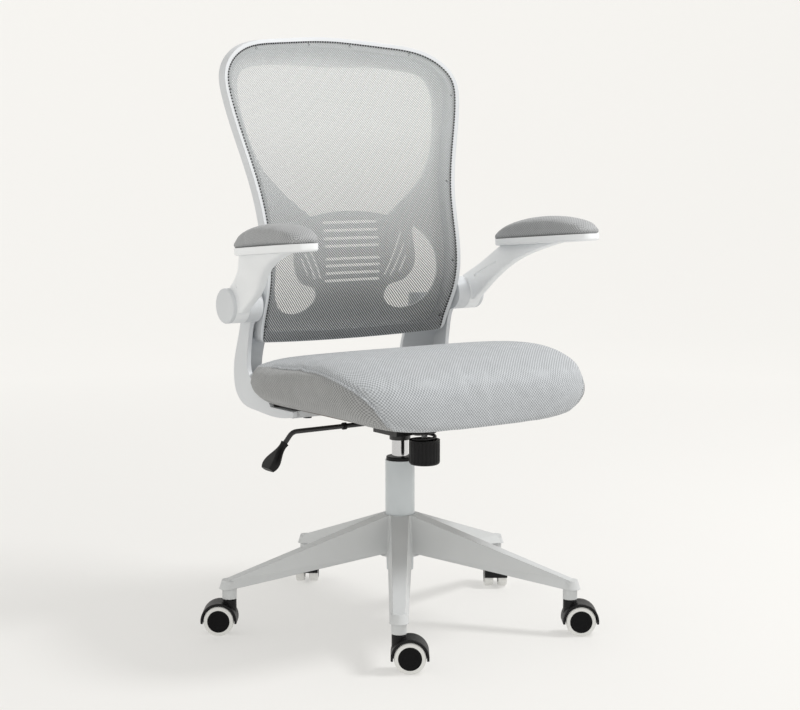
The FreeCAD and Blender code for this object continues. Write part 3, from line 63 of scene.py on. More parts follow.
# Studio: a round floor that rises into a wall all round, beyond the camera
FLOOR_RINGS = (0.02, 1.5, 3.0)
FLOOR_RADIUS = 4.2
FLOOR_BEND = 1.6
BEND_STEPS = 12
FLOOR_STEPS = 96
WALL_TOP = 4.5

# Floor surface, which glows more with distance from the chair
FLOOR_TINT = (0.42, 0.415, 0.405)
FLOOR_TONE = 0.99
FLOOR_CLOUD = 0.7
FLOOR_GRAIN = 0.01
FLOOR_ROUGH = (0.85, 0.95)
FLOOR_SHINE = 0.1
FLOOR_GLOW = (1.0, 0.99, 0.962)
NEAR_GLOW = 0.445
FAR_GLOW = 0.56
GLOW_RANGE = (0.8, 3.4)

# Lights: metres and watts
SKY_TINT = (1.0, 0.99, 0.97)
SKY_STRENGTH = 0.62
LIGHT_TARGET = Vector((0.0, 0.0, 0.45))
KEY_PLACE = (1.45, -1.05, 2.75)
KEY_SIZE = 0.8
KEY_POWER = 50.0
FILL_PLACE = (-2.6, -2.2, 2.2)
FILL_SIZE = 2.4
FILL_POWER = 3.0

# Colours
WHITE_PLASTIC = (0.655, 0.675, 0.695)
# Painted light: the back shell's white plastic, made lighter than the rest to offset the shadow that the mesh
# casts on it
SHELL_PLASTIC_PAINTED_LIGHT = (0.91, 0.922, 0.93)
# Painted light: the arms' white plastic, made lighter than the other white plastic as a lit copy of it
ARM_PLASTIC_PAINTED_LIGHT = (0.85, 0.867, 0.88)
# Painted shade: the star base's white plastic, made greyer than the rest as a shaded copy of it
BASE_PLASTIC_PAINTED_SHADE = (0.60, 0.615, 0.62)
WHITE_PAINT = (0.62, 0.66, 0.68)
BLACK_PLASTIC = (0.005, 0.005, 0.0057)
BLACK_PAINT = (0.014, 0.014, 0.015)
TREAD_WHITE = (0.74, 0.74, 0.72)
DISC_BLACK = (0.003, 0.003, 0.0033)
CHROME_TINT = (0.66, 0.66, 0.67)
ZINC_TINT = (0.48, 0.49, 0.50)
SCREW_TINT = (0.055, 0.055, 0.057)
PLY_PALE = (0.20, 0.17, 0.14)
PLY_DARK = (0.12, 0.10, 0.08)
SEAT_YARN = (0.59, 0.615, 0.64)
SEAT_GAP = (0.25, 0.263, 0.278)
# Painted shade: the seat's side panels, the seat knit made darker where less light falls
SIDE_PAINTED_SHADE_YARN = (0.42, 0.425, 0.425)
SIDE_PAINTED_SHADE_GAP = (0.18, 0.183, 0.183)
PAD_YARN = (0.49, 0.50, 0.51)
PAD_GAP = (0.18, 0.185, 0.19)
MESH_YARN = (0.52, 0.54, 0.547)
MESH_SHADE = (0.40, 0.415, 0.42)
# Painted shade: the dark tone that the back mesh's yarn takes towards its lower edge
MESH_LOW_PAINTED_SHADE = (0.115, 0.12, 0.122)
STITCH_TINT = (0.016, 0.016, 0.018)

# Roughness of each finish
WHITE_ROUGH = 0.42
BASE_ROUGH = 0.46
TREAD_ROUGH = 0.38
BLACK_ROUGH = 0.45
DISC_ROUGH = 0.32
WHITE_PAINT_ROUGH = 0.36
BLACK_PAINT_ROUGH = 0.42
CHROME_ROUGH = 0.10
ZINC_ROUGH = 0.35
SCREW_ROUGH = 0.40

# Shine of plastics, and the tone of their edges as a share of the colour
PLAIN_SHINE = 0.5
BASE_SHINE = 0.35
BLACK_SHINE = 0.24
DISC_SHINE = 0.12
PLAIN_EDGE = 1.08
BLACK_EDGE = 1.7
DISC_EDGE = 1.6

# Edges: radius of the softening, and how far soft and true normal agree from an edge to an open face
EDGE_ROUND = 0.0012
EDGE_RANGE = (0.85, 0.995)
EDGE_SAMPLES = 4

# Plastic: sizes in metres, tones as shares of the colour
PLASTIC_CLOUD = 0.09
PLASTIC_TONES = (0.97, 1.03)
PLASTIC_PATCH = 0.03
PLASTIC_PATCH_DETAIL = 4.0
PLASTIC_ROUGH_SPAN = (-0.05, 0.06)
PLASTIC_POLISH = 0.1
PLASTIC_GRAIN = 0.0009
PLASTIC_GRAIN_DETAIL = 3.0
PLASTIC_GRAIN_DEPTH = 0.00004

# Powder coat
PAINT_CLOUD = 0.06
PAINT_TONES = (0.96, 1.03)
PAINT_EDGE = 1.1
PAINT_PATCH = 0.02
PAINT_PATCH_DETAIL = 3.0
PAINT_ROUGH_SPAN = (-0.05, 0.07)
PAINT_PEEL = 0.0022
PAINT_PEEL_DETAIL = 1.0
PAINT_PEEL_DEPTH = 0.00009
PAINT_COAT = 0.15
PAINT_COAT_ROUGH = 0.25

# Bare and plated metal, with the way that its marks are stretched
METAL_MARK = 0.004
METAL_MARK_DETAIL = 4.0
METAL_MARK_DEPTH = 0.00002
METAL_TONES = (0.90, 1.05)
METAL_ROUGH_SHARES = (0.7, 1.4)
METAL_EDGE_ROUND = 0.0004
CHROME_LAY = (1.0, 1.0, 12.0)
ZINC_LAY = (6.0, 1.0, 1.0)
SCREW_LAY = (1.0, 1.0, 4.0)

# Plywood
PLY_PAIR = 0.0028
PLY_BLEND = (-0.3, 0.3)
PLY_EDGE_SHARE = 0.45
PLY_GRAIN = 0.012
PLY_GRAIN_DETAIL = 6.0
PLY_GRAIN_LAY = (1.0, 0.12, 1.0)
PLY_GRAIN_SHARE = 0.6
PLY_GRAIN_DEPTH = 0.0002
PLY_ROUGH = (0.55, 0.8)

# Knit of seat and pads: metres between neighbouring loops, depth of the relief, then the yarn
SEAT_PITCH = 0.0026
SEAT_KNIT_DEPTH = 0.0008
PAD_PITCH = 0.0021
PAD_KNIT_DEPTH = 0.0006
KNIT_TURN_POWER = 6.0
KNIT_LOOP_RANGE = (-0.55, 0.35)
KNIT_LOOP_SHARE = 0.8
KNIT_FUZZ = 0.0007
KNIT_FUZZ_SHARE = 0.25
KNIT_SLUB = 0.018
KNIT_SLUB_DETAIL = 3.0
KNIT_TONES = (0.94, 1.05)
KNIT_ROUGH = (0.82, 0.97)
KNIT_SHEEN = 0.25
KNIT_SHEEN_ROUGH = 0.5

# Back mesh: weave, flat size and the heights between which its yarn goes from painted shade at the bottom to its
# plain tone
RIB_PITCH = 0.0036
TIE_PITCH = 0.0031
TIE_SHARE = 0.65
STRAND_SIZE = 0.0012
STRAND_LAY = (1.0, 1.0, 0.3)
MESH_ROUGH = (0.55, 0.8)
MESH_DEPTH = 0.0002
MESH_HOLES = (-0.45, -0.2)
MESH_SHEEN = 0.2
MESH_SHEEN_ROUGH = 0.4
MESH_PAINTED_SHADE_FADE = (0.48, 0.84)
MESH_WELD = 1e-5
MESH_FACING = -0.3

# Row of stitches that holds the mesh in the rim
STITCH_PITCH = 0.0052
STITCH_LENGTH = 0.0034
STITCH_WIDTH = 0.0030
STITCH_LIFT = 0.0009
STITCH_INSET = 0.0012
STITCH_CLEAR = 0.014
TWIST_SIZE = 0.0006
TWIST_LAY = (1.0, 1.0, 2.0)
TWIST_TONES = (0.7, 1.5)
TWIST_ROUGH = (0.5, 0.75)
TWIST_DEPTH = 0.0002

# Wheels: inside this radius of its axis a wheel is the black disc
DISC_RADIUS = 0.0185

# Seat cushion
SEAT_VOXEL = 0.0055
SEAT_SHRINK = 0.003
SEAT_SWELL = 0.007
SEAT_HELD_BELOW = 0.396
SEAT_FREE_ABOVE = 0.432
SIDE_PANEL_FROM = 0.12

# Seam along the seat's left edge, from the back to the lower front; the right one is its mirror
SEAM_WIDTH = 0.0065
SEAM_REACH = 3
SEAM_DEPTH = 0.0034
SEAM_ROUND = 0.0023
SEAM_STEPS = 24
SEAM_ORDER = 3
SEAT_SEAM = (
    (0.222, 0.060, 0.456),
    (0.231, -0.030, 0.4615),
    (0.238, -0.100, 0.460),
    (0.2405, -0.155, 0.4535),
    (0.2335, -0.2015, 0.4395),
    (0.2195, -0.2265, 0.421),
    (0.207, -0.234, 0.4025),
    (0.188, -0.2325, 0.379),
)

# Arm pads, which lie tilted on their trays
PAD_MIDDLE_Y = -0.0525
PAD_BASE = 0.652
PAD_TILT = 4.5
PAD_VOXEL = 0.004
PAD_SHRINK = 0.002
PAD_SWELL = 0.005
PAD_HELD = 0.004
PAD_FREE = 0.013

# Cloth
EASE_FACTOR = 0.5
EASE_STEPS = 14
CLOTH_PRESSURE = 4.0
CLOTH_FRAMES = 20

# Noise: its usual detail, and the values between which it mostly lies
NOISE_DETAIL = 2.0
NOISE_LOW = 0.3
NOISE_HIGH = 0.7

# Colour sockets of Blender's Mix node
MIX_FIRST = 6
MIX_SECOND = 7
MIX_RESULT = 2


class Look:
    """One procedural material, with the short steps its node tree is made of."""

    def __init__(self, name):
        self.material = bpy.data.materials.new(name)
        self.material.use_nodes = True
        self.tree = self.material.node_tree
        self.shader = self.tree.nodes["Principled BSDF"]
        self.place = self.add("TexCoord").outputs["Object"]

    def add(self, kind, **settings):
        node = self.tree.nodes.new("ShaderNode" + kind)
        for key, value in settings.items():
            setattr(node, key, value)
        return node

    def feed(self, node, socket, value):
        """Links a socket to another node's output, or sets it to a plain value."""
        if isinstance(value, bpy.types.NodeSocket):
            self.tree.links.new(value, node.inputs[socket])
        else:
            node.inputs[socket].default_value = value

    def math(self, operation, first, second=0.0):
        node = self.add("Math", operation=operation)
        self.feed(node, 0, first)
        self.feed(node, 1, second)
        return node.outputs[0]

    def parts(self, vector):
        split = self.add("SeparateXYZ")
        self.feed(split, 0, vector)
        return split.outputs

    def stretched(self, stretch):
        mapping = self.add("Mapping")
        self.feed(mapping, "Vector", self.place)
        self.feed(mapping, "Scale", stretch)
        return mapping.outputs[0]

    def noise(self, size, detail=NOISE_DETAIL, stretch=None):
        node = self.add("TexNoise")
        self.feed(node, "Vector", self.stretched(stretch) if stretch else self.place)
        self.feed(node, "Scale", 1.0 / size)
        self.feed(node, "Detail", detail)
        return node.outputs["Fac"]

    def spread(self, source, low, high, start=NOISE_LOW, end=NOISE_HIGH):
        """The source taken from its range, start to end, to the range low to high."""
        node = self.add("MapRange")
        for socket, value in enumerate((source, start, end, low, high)):
            self.feed(node, socket, value)
        return node.outputs[0]

    def tint(self, factor, first, second):
        node = self.add("Mix", data_type="RGBA")
        self.feed(node, "Factor", factor)
        self.feed(node, MIX_FIRST, first)
        self.feed(node, MIX_SECOND, second)
        return node.outputs[MIX_RESULT]

    def mottled(self, source, colour, tones):
        """A colour that wanders between two tones of itself."""
        return self.tint(self.spread(source, 0.0, 1.0), scaled(colour, tones[0]), scaled(colour, tones[1]))

    def wave(self, source, length):
        return self.math("SINE", self.math("MULTIPLY", source, 2.0 * math.pi / length))

    def lattice(self, first, second, pitch):
        """Waves along both directions multiplied: loops with pinholes in diagonal rows."""
        return self.math("MULTIPLY", self.wave(first, 2.0 * pitch), self.wave(second, 2.0 * pitch))

    def total(self, terms):
        first, second, third = terms
        return self.math("ADD", self.math("ADD", first, second), third)

    def woven(self, pitch):
        """Loops laid on top, sides and ends of a cushion, blended by the way the cloth faces."""
        x, y, z = self.parts(self.place)
        facing = self.parts(self.add("TexCoord").outputs["Normal"])
        shares = [self.math("POWER", self.math("ABSOLUTE", part), KNIT_TURN_POWER) for part in facing]
        weights = self.total(shares)
        planes = ((y, z), (x, z), (x, y))
        layers = [self.math("MULTIPLY", share, self.lattice(first, second, pitch))
                  for share, (first, second) in zip(shares, planes)]
        return self.math("DIVIDE", self.total(layers), weights)

    def softened(self, radius):
        bevel = self.add("Bevel", samples=EDGE_SAMPLES)
        self.feed(bevel, "Radius", radius)
        return bevel.outputs[0]

    def edges(self, soft_normal):
        """One along convex and concave edges, nought on open faces."""
        flat = self.add("NewGeometry").outputs["Normal"]
        product = self.add("VectorMath", operation="DOT_PRODUCT")
        self.feed(product, 0, soft_normal)
        self.feed(product, 1, flat)
        return self.spread(product.outputs["Value"], 1.0, 0.0, *EDGE_RANGE)

    def relief(self, height, distance, normal=None):
        bump = self.add("Bump")
        self.feed(bump, "Height", height)
        self.feed(bump, "Distance", distance)
        if normal is not None:
            self.feed(bump, "Normal", normal)
        return bump.outputs[0]

    def wear(self, **sockets):
        """Feeds the shader's sockets, named with underscores for spaces."""
        for socket, value in sockets.items():
            self.feed(self.shader, socket.replace("_", " "), value)


def scaled(colour, share=1.0):
    """An opaque colour with each part times the share."""
    return tuple(part * share for part in colour) + (1.0,)


def around(middle, span):
    """The two ends of a span about a middle value."""
    return [middle + step for step in span]


def moulded(name, colour, rough, shine=PLAIN_SHINE, edge=PLAIN_EDGE):
    """Moulded plastic: spark-eroded grain, slow changes of tone, edges polished by handling."""
    look = Look(name)
    soft = look.softened(EDGE_ROUND)
    worn = look.edges(soft)
    cloudy = look.mottled(look.noise(PLASTIC_CLOUD), colour, PLASTIC_TONES)
    patchy = look.spread(look.noise(PLASTIC_PATCH, PLASTIC_PATCH_DETAIL), *around(rough, PLASTIC_ROUGH_SPAN))
    grain = look.noise(PLASTIC_GRAIN, PLASTIC_GRAIN_DETAIL)
    look.wear(
        Base_Color=look.tint(worn, cloudy, scaled(colour, edge)),
        Roughness=look.math("SUBTRACT", patchy, look.math("MULTIPLY", worn, PLASTIC_POLISH)),
        Normal=look.relief(grain, PLASTIC_GRAIN_DEPTH, soft),
        Specular_IOR_Level=shine,
    )
    return look.material


def painted(name, colour, rough):
    """Powder coat on steel: a slight orange peel under a thin clear skin."""
    look = Look(name)
    soft = look.softened(EDGE_ROUND)
    worn = look.edges(soft)
    even = look.mottled(look.noise(PAINT_CLOUD), colour, PAINT_TONES)
    patches = look.noise(PAINT_PATCH, PAINT_PATCH_DETAIL)
    peel = look.noise(PAINT_PEEL, PAINT_PEEL_DETAIL)
    look.wear(
        Base_Color=look.tint(worn, even, scaled(colour, PAINT_EDGE)),
        Roughness=look.spread(patches, *around(rough, PAINT_ROUGH_SPAN)),
        Normal=look.relief(peel, PAINT_PEEL_DEPTH, soft),
        Coat_Weight=PAINT_COAT,
        Coat_Roughness=PAINT_COAT_ROUGH,
    )
    return look.material


def plated(name, colour, rough, lay):
    """Bare or plated metal with fine machining marks that run along one direction."""
    look = Look(name)
    marks = look.noise(METAL_MARK, METAL_MARK_DETAIL, lay)
    soft = look.softened(METAL_EDGE_ROUND)
    look.wear(
        Base_Color=look.mottled(marks, colour, METAL_TONES),
        Roughness=look.spread(marks, *[rough * share for share in METAL_ROUGH_SHARES]),
        Normal=look.relief(marks, METAL_MARK_DEPTH, soft),
        Metallic=1.0,
    )
    return look.material


def plywood():
    """Dark stained plies seen on the edge, with grain along the sheet."""
    look = Look("plywood")
    height = look.parts(look.place)["Z"]
    layers = look.spread(look.wave(height, PLY_PAIR), 0.0, 1.0, *PLY_BLEND)
    grain = look.noise(PLY_GRAIN, PLY_GRAIN_DETAIL, PLY_GRAIN_LAY)
    edge = look.math("MULTIPLY", layers, PLY_EDGE_SHARE)
    mixed = look.math("ADD", look.math("MULTIPLY", grain, PLY_GRAIN_SHARE), edge)
    look.wear(
        Base_Color=look.tint(mixed, scaled(PLY_PALE), scaled(PLY_DARK)),
        Roughness=look.spread(grain, *PLY_ROUGH),
        Normal=look.relief(grain, PLY_GRAIN_DEPTH),
    )
    return look.material


def knitted(name, yarn, gap, pitch, height):
    """Spacer knit: rows of small loops with pinholes between them."""
    look = Look(name)
    loops = look.spread(look.woven(pitch), 0.0, KNIT_LOOP_SHARE, *KNIT_LOOP_RANGE)
    fuzz = look.noise(KNIT_FUZZ)
    slubs = look.noise(KNIT_SLUB, KNIT_SLUB_DETAIL)
    body = look.math("ADD", loops, look.math("MULTIPLY", fuzz, KNIT_FUZZ_SHARE))
    look.wear(
        Base_Color=look.tint(body, scaled(gap), look.mottled(slubs, yarn, KNIT_TONES)),
        Roughness=look.spread(fuzz, *KNIT_ROUGH),
        Normal=look.relief(body, height),
        Sheen_Weight=KNIT_SHEEN,
        Sheen_Roughness=KNIT_SHEEN_ROUGH,
    )
    return look.material


def open_mesh():
    """Stretched mesh: ribs along one diagonal, thinner ties across them and small holes between."""
    look = Look("grey_mesh")
    across, _, upward = look.parts(look.place)
    ribs = look.wave(look.math("ADD", across, upward), RIB_PITCH * math.sqrt(2.0))
    ties = look.wave(look.math("SUBTRACT", across, upward), TIE_PITCH * math.sqrt(2.0))
    loops = look.math("ADD", ribs, look.math("MULTIPLY", ties, TIE_SHARE))
    strands = look.noise(STRAND_SIZE, stretch=STRAND_LAY)
    tone = look.tint(look.spread(strands, 0.0, 1.0), scaled(MESH_SHADE), scaled(MESH_YARN))
    look.wear(
        # Painted shade: the yarn darkens towards the bottom of the back
        Base_Color=look.tint(look.spread(upward, 0.0, 1.0, *MESH_PAINTED_SHADE_FADE), scaled(MESH_LOW_PAINTED_SHADE), tone),
        Roughness=look.spread(strands, *MESH_ROUGH),
        Normal=look.relief(loops, MESH_DEPTH),
        Alpha=look.spread(loops, 0.0, 1.0, *MESH_HOLES),
        Sheen_Weight=MESH_SHEEN,
        Sheen_Roughness=MESH_SHEEN_ROUGH,
    )
    return look.material


def stitching():
    """Dark bonded thread, twisted along its length."""
    look = Look("stitching")
    twist = look.noise(TWIST_SIZE, stretch=TWIST_LAY)
    dark, pale = [scaled(STITCH_TINT, tone) for tone in TWIST_TONES]
    look.wear(
        Base_Color=look.tint(twist, dark, pale),
        Roughness=look.spread(twist, *TWIST_ROUGH),
        Normal=look.relief(twist, TWIST_DEPTH),
    )
    return look.material


def studio_surface():
    """Matt pale floor that glows a little, more so far from the chair."""
    look = Look("studio_floor")
    x, y, _ = look.parts(look.place)
    reach = look.math("SQRT", look.math("ADD", look.math("MULTIPLY", x, x), look.math("MULTIPLY", y, y)))
    look.wear(
        Base_Color=look.tint(look.noise(FLOOR_CLOUD), scaled(FLOOR_TINT), scaled(FLOOR_TINT, FLOOR_TONE)),
        Roughness=look.spread(look.noise(FLOOR_GRAIN), *FLOOR_ROUGH),
        Specular_IOR_Level=FLOOR_SHINE,
        Emission_Color=scaled(FLOOR_GLOW),
        Emission_Strength=look.spread(reach, NEAR_GLOW, FAR_GLOW, *GLOW_RANGE),
    )
    return look.material


def dress(piece, material):
    piece.data.materials.clear()
    piece.data.materials.append(material)


def dress_wheel(piece, joint):
    """White tread ring outside the disc's radius, black disc inside it."""
    piece.data.materials.append(disc_look)
    axis = Vector(joint["axis"])
    middle = Vector(joint["pos_m"])
    for face in piece.data.polygons:
        arm = face.center - middle
        face.material_index = 0 if arm.cross(axis).length > DISC_RADIUS else 1


def new_piece(name, mesh):
    piece = bpy.data.objects.new(name, mesh)
    scene.collection.objects.link(piece)
    return piece


def smooth(mesh):
    for face in mesh.polygons:
        face.use_smooth = True


def mesh_from(shape, name):
    """A smooth mesh from an edit mesh, which is freed."""
    mesh = bpy.data.meshes.new(name)
    shape.to_mesh(mesh)
    shape.free()
    smooth(mesh)
    return mesh


def shaped(piece):
    """The piece's mesh with its modifiers worked in."""
    graph = bpy.context.evaluated_depsgraph_get()
    return bpy.data.meshes.new_from_object(piece.evaluated_get(graph))


def bake_modifiers(piece):
    mesh = shaped(piece)
    piece.modifiers.clear()
    piece.data = mesh


def step_between(value, start, end):
    """A smooth rise from nought at the start to one at the end."""
    share = min(max((value - start) / (end - start), 0.0), 1.0)
    return share * share * (3.0 - 2.0 * share)


def swell(piece, limit, freedom):
    """Cloth under pressure; each point moves by at most the limit, times its freedom."""
    cloth = piece.modifiers.new("swell", "CLOTH")
    cloth.settings.use_pressure = True
    cloth.settings.uniform_pressure_force = CLOTH_PRESSURE
    cloth.settings.effector_weights.gravity = 0.0
    cloth.point_cache.frame_start = 1
    cloth.point_cache.frame_end = CLOTH_FRAMES
    for number in range(1, CLOTH_FRAMES + 1):
        scene.frame_set(number)
    blown = shaped(piece)
    piece.modifiers.remove(cloth)
    scene.frame_set(1)
    for point, moved in zip(piece.data.vertices, blown.vertices):
        shift = moved.co - point.co
        if shift.length > limit:
            shift *= limit / shift.length
        point.co = point.co + shift * freedom(point.co)


def eased(piece, freedom):
    """Rounds off edges and flat ends where the cloth is free."""
    before = [point.co.copy() for point in piece.data.vertices]
    smoothing = piece.modifiers.new("ease", "SMOOTH")
    smoothing.factor = EASE_FACTOR
    smoothing.iterations = EASE_STEPS
    bake_modifiers(piece)
    for point, place in zip(piece.data.vertices, before):
        point.co = place.lerp(point.co, freedom(place))


def stuffed(node, name, voxel, shrink, limit, freedom):
    """A padded piece in the space of a CAD solid: remeshed, drawn in a little, then blown up as cloth."""
    piece = new_piece(name, nodes[node].data.copy())
    piece.data.materials.clear()
    remesh = piece.modifiers.new("remesh", "REMESH")
    remesh.mode = "VOXEL"
    remesh.voxel_size = voxel
    bake_modifiers(piece)
    eased(piece, freedom)
    normals = [point.normal.copy() for point in piece.data.vertices]
    for point, normal in zip(piece.data.vertices, normals):
        point.co = point.co - normal * shrink * freedom(point.co)
    swell(piece, limit, freedom)
    finer = piece.modifiers.new("finer", "SUBSURF")
    finer.levels = 1
    bake_modifiers(piece)
    smooth(piece.data)
    return piece


def curve_along(name, kind, points):
    """A curve with one spline of the given kind, and that spline."""
    curve = bpy.data.curves.new(name, "CURVE")
    curve.dimensions = "3D"
    spline = curve.splines.new(kind)
    spline.points.add(len(points) - 1)
    for place, point in zip(spline.points, points):
        place.co = (*point, 1.0)
    return curve, spline


def curve_mesh(name, curve):
    """The mesh that a curve makes."""
    holder = new_piece(name, curve)
    mesh = shaped(holder)
    bpy.data.objects.remove(holder)
    return mesh


def smooth_line(points):
    """Places along one smooth curve that the given points lead."""
    curve, spline = curve_along("line", "NURBS", points)
    spline.resolution_u = SEAM_STEPS
    spline.order_u = SEAM_ORDER
    spline.use_endpoint_u = True
    return [point.co.copy() for point in curve_mesh("line_holder", curve).vertices]


def on_surface(piece, line):
    """The places of a line moved to the nearest points of a piece."""
    tree = BVHTree.FromPolygons([point.co for point in piece.data.vertices],
                                [face.vertices for face in piece.data.polygons])
    return [tree.find_nearest(point)[0] for point in line]


def sew(piece, line):
    """A sewn channel: points near the line are drawn in along their normals."""
    reach = SEAM_WIDTH * SEAM_REACH
    box_low = Vector([min(point[k] for point in line) - reach for k in range(3)])
    box_high = Vector([max(point[k] for point in line) + reach for k in range(3)])
    pulls = []
    for point in piece.data.vertices:
        if any(not box_low[k] < point.co[k] < box_high[k] for k in range(3)):
            continue
        gap = min((point.co - place).length for place in line)
        pulls.append((point.index, point.normal * SEAM_DEPTH * math.exp(-(gap / SEAM_WIDTH) ** 2)))
    for index, pull in pulls:
        piece.data.vertices[index].co -= pull


def seam_cord(name, line):
    """A round cord of seat fabric laid along a seam."""
    curve, _ = curve_along(name, "POLY", line)
    curve.bevel_depth = SEAM_ROUND
    piece = new_piece(name, curve_mesh(name + "_line", curve))
    smooth(piece.data)
    dress(piece, seat_look)
    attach(piece, "seat")


def dress_side_painted_shade(piece, line, side):
    """Cloth outside the seam, down to the cushion's lower edge, is the side panel, dressed in the same knit made
    darker as painted shade.
    """
    tree = KDTree(len(line))
    for index, place in enumerate(line):
        tree.insert(place, index)
    tree.balance()
    for face in piece.data.polygons:
        if face.center.x * side < SIDE_PANEL_FROM:
            continue
        place, index, _ = tree.find(face.center)
        inner = min(max(index, 1), len(line) - 2)
        along = (line[inner + 1] - line[inner - 1]).normalized()
        outward = along.cross(face.normal) * -side
        if (face.center - place).dot(outward) > 0.0:
            face.material_index = 1


def seat_freedom(place):
    """Nought below the height where the cloth is held, one above the height where it is free."""
    return step_between(place.z, SEAT_HELD_BELOW, SEAT_FREE_ABOVE)


def seat_cushion():
    """Seat cushion with a sewn seam, a cord and a side panel on each side, the side panels darker as painted
    shade.
    """
    piece = stuffed("seat_cushion", "seat_cover", SEAT_VOXEL, SEAT_SHRINK, SEAT_SWELL, seat_freedom)
    dress(piece, seat_look)
    piece.data.materials.append(side_painted_shade_look)
    for side, hand in ((-1.0, "right"), (1.0, "left")):
        line = on_surface(piece, smooth_line([(side * x, y, z) for x, y, z in SEAT_SEAM]))
        sew(piece, line)
        seam_cord("seat_seam_" + hand, on_surface(piece, line))
        dress_side_painted_shade(piece, line, side)
    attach(piece, "seat")
    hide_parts("seat_cushion")


def pad_freedom(place):
    """The same for an arm pad, with heights measured from its tilted base."""
    base = PAD_BASE + (PAD_MIDDLE_Y - place.y) * math.tan(math.radians(PAD_TILT))
    return step_between(place.z - base, PAD_HELD, PAD_FREE)


def arm_pad(hand):
    """Padded top of one arm."""
    piece = stuffed("arm_pad_" + hand, "arm_cushion_" + hand, PAD_VOXEL, PAD_SHRINK, PAD_SWELL, pad_freedom)
    dress(piece, pad_look)
    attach(piece, "arm_" + hand)
    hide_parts("arm_pad_" + hand)


def tension_spring():
    """The coil spring, which moves with the seat."""
    piece = new_piece("spring_coil", nodes["tension_spring"].data.copy())
    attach(piece, "seat")
    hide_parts("tension_spring")
    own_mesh(piece)


def edge_loop(shape):
    """Places along the sheet's one open edge, in order from its lowest point."""
    links = {}
    for edge in shape.edges:
        if edge.is_boundary:
            first, second = edge.verts
            links.setdefault(first, []).append(second)
            links.setdefault(second, []).append(first)
    start = min(links, key=lambda point: point.co.z)
    loop = [start]
    last, here = None, start
    while True:
        ahead = [point for point in links[here] if point is not last][0]
        if ahead is start:
            break
        loop.append(ahead)
        last, here = here, ahead
    return [point.co.copy() for point in loop]


def front_sheet():
    """The front skin of the CAD mesh as one thin sheet, with its edge loop in order."""
    shape = bmesh.new()
    shape.from_mesh(nodes["back_mesh"].data)
    bmesh.ops.remove_doubles(shape, verts=shape.verts, dist=MESH_WELD)
    away = [face for face in shape.faces if face.normal.y > MESH_FACING]
    bmesh.ops.delete(shape, geom=away, context="FACES")
    edge_line = edge_loop(shape)
    return mesh_from(shape, "back_weave"), edge_line


def even_steps(line, pitch):
    """Places and directions at even steps along a closed line."""
    closed = line + line[:1]
    spans = [second - first for first, second in zip(closed, closed[1:])]
    total = sum(span.length for span in spans)
    count = round(total / pitch)
    wanted = [total * number / count for number in range(count)]
    gone = 0.0
    found = []
    for first, span in zip(closed, spans):
        while wanted and wanted[0] <= gone + span.length:
            found.append((first + span * ((wanted.pop(0) - gone) / span.length), span.normalized()))
        gone += span.length
    return found


def stitch_row(edge_line):
    """Short dark stitches where the mesh goes into the rim."""
    shape = bmesh.new()
    front = Vector((0.0, -1.0, 0.0))
    middle = sum(edge_line, Vector()) / len(edge_line)
    lowest = min(place.z for place in edge_line)
    half_wide = STITCH_WIDTH / 2
    for place, ahead in even_steps(edge_line, STITCH_PITCH):
        if place.z < lowest + STITCH_CLEAR:
            continue
        out = (front - ahead * front.dot(ahead)).normalized()
        across = ahead.cross(out)
        inwards = across if across.dot(middle - place) > 0.0 else -across
        turn = Matrix((ahead * STITCH_LENGTH / 2, across * half_wide, out * half_wide)).transposed()
        where = Matrix.Translation(place + out * STITCH_LIFT + inwards * STITCH_INSET) @ turn.to_4x4()
        bmesh.ops.create_icosphere(shape, subdivisions=1, radius=1.0, matrix=where)
    return mesh_from(shape, "back_stitches")


def back_weave():
    """Mesh of the back, with its stitches."""
    mesh, edge_line = front_sheet()
    piece = new_piece("back_weave", mesh)
    dress(piece, open_mesh())
    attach(piece, "seat")
    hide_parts("back_mesh")
    stitches = new_piece("back_stitches", stitch_row(edge_line))
    dress(stitches, stitching())
    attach(stitches, "seat")


def studio():
    """Flat floor, quarter bend and wall, turned about the chair's axis."""
    profile = [(radius, 0.0) for radius in FLOOR_RINGS]
    for number in range(BEND_STEPS + 1):
        turn = math.pi / 2 * number / BEND_STEPS
        profile.append((FLOOR_RADIUS + FLOOR_BEND * math.sin(turn), FLOOR_BEND * (1 - math.cos(turn))))
    profile.append((FLOOR_RADIUS + FLOOR_BEND, WALL_TOP))
    shape = bmesh.new()
    points = [shape.verts.new((radius, 0.0, height)) for radius, height in profile]
    spans = [shape.edges.new(pair) for pair in zip(points, points[1:])]
    bmesh.ops.spin(shape, geom=points + spans, cent=(0, 0, 0), axis=(0, 0, 1), angle=2 * math.pi,
                   steps=FLOOR_STEPS, use_merge=True)
    hole = [edge for edge in shape.edges if edge.is_boundary and edge.verts[0].co.xy.length < FLOOR_RINGS[1]]
    bmesh.ops.contextual_create(shape, geom=hole)
    bmesh.ops.recalc_face_normals(shape, faces=shape.faces)
    piece = new_piece("studio_floor", mesh_from(shape, "studio_floor"))
    dress(piece, studio_surface())


def soft_light(name, place, size, power):
    """A round lamp that faces the chair."""
    lamp = bpy.data.lights.new(name, "AREA")
    lamp.shape = "DISK"
    lamp.size = size
    lamp.energy = power
    holder = new_piece(name, lamp)
    holder.location = place
    holder.rotation_euler = (LIGHT_TARGET - Vector(place)).to_track_quat("-Z", "Y").to_euler()


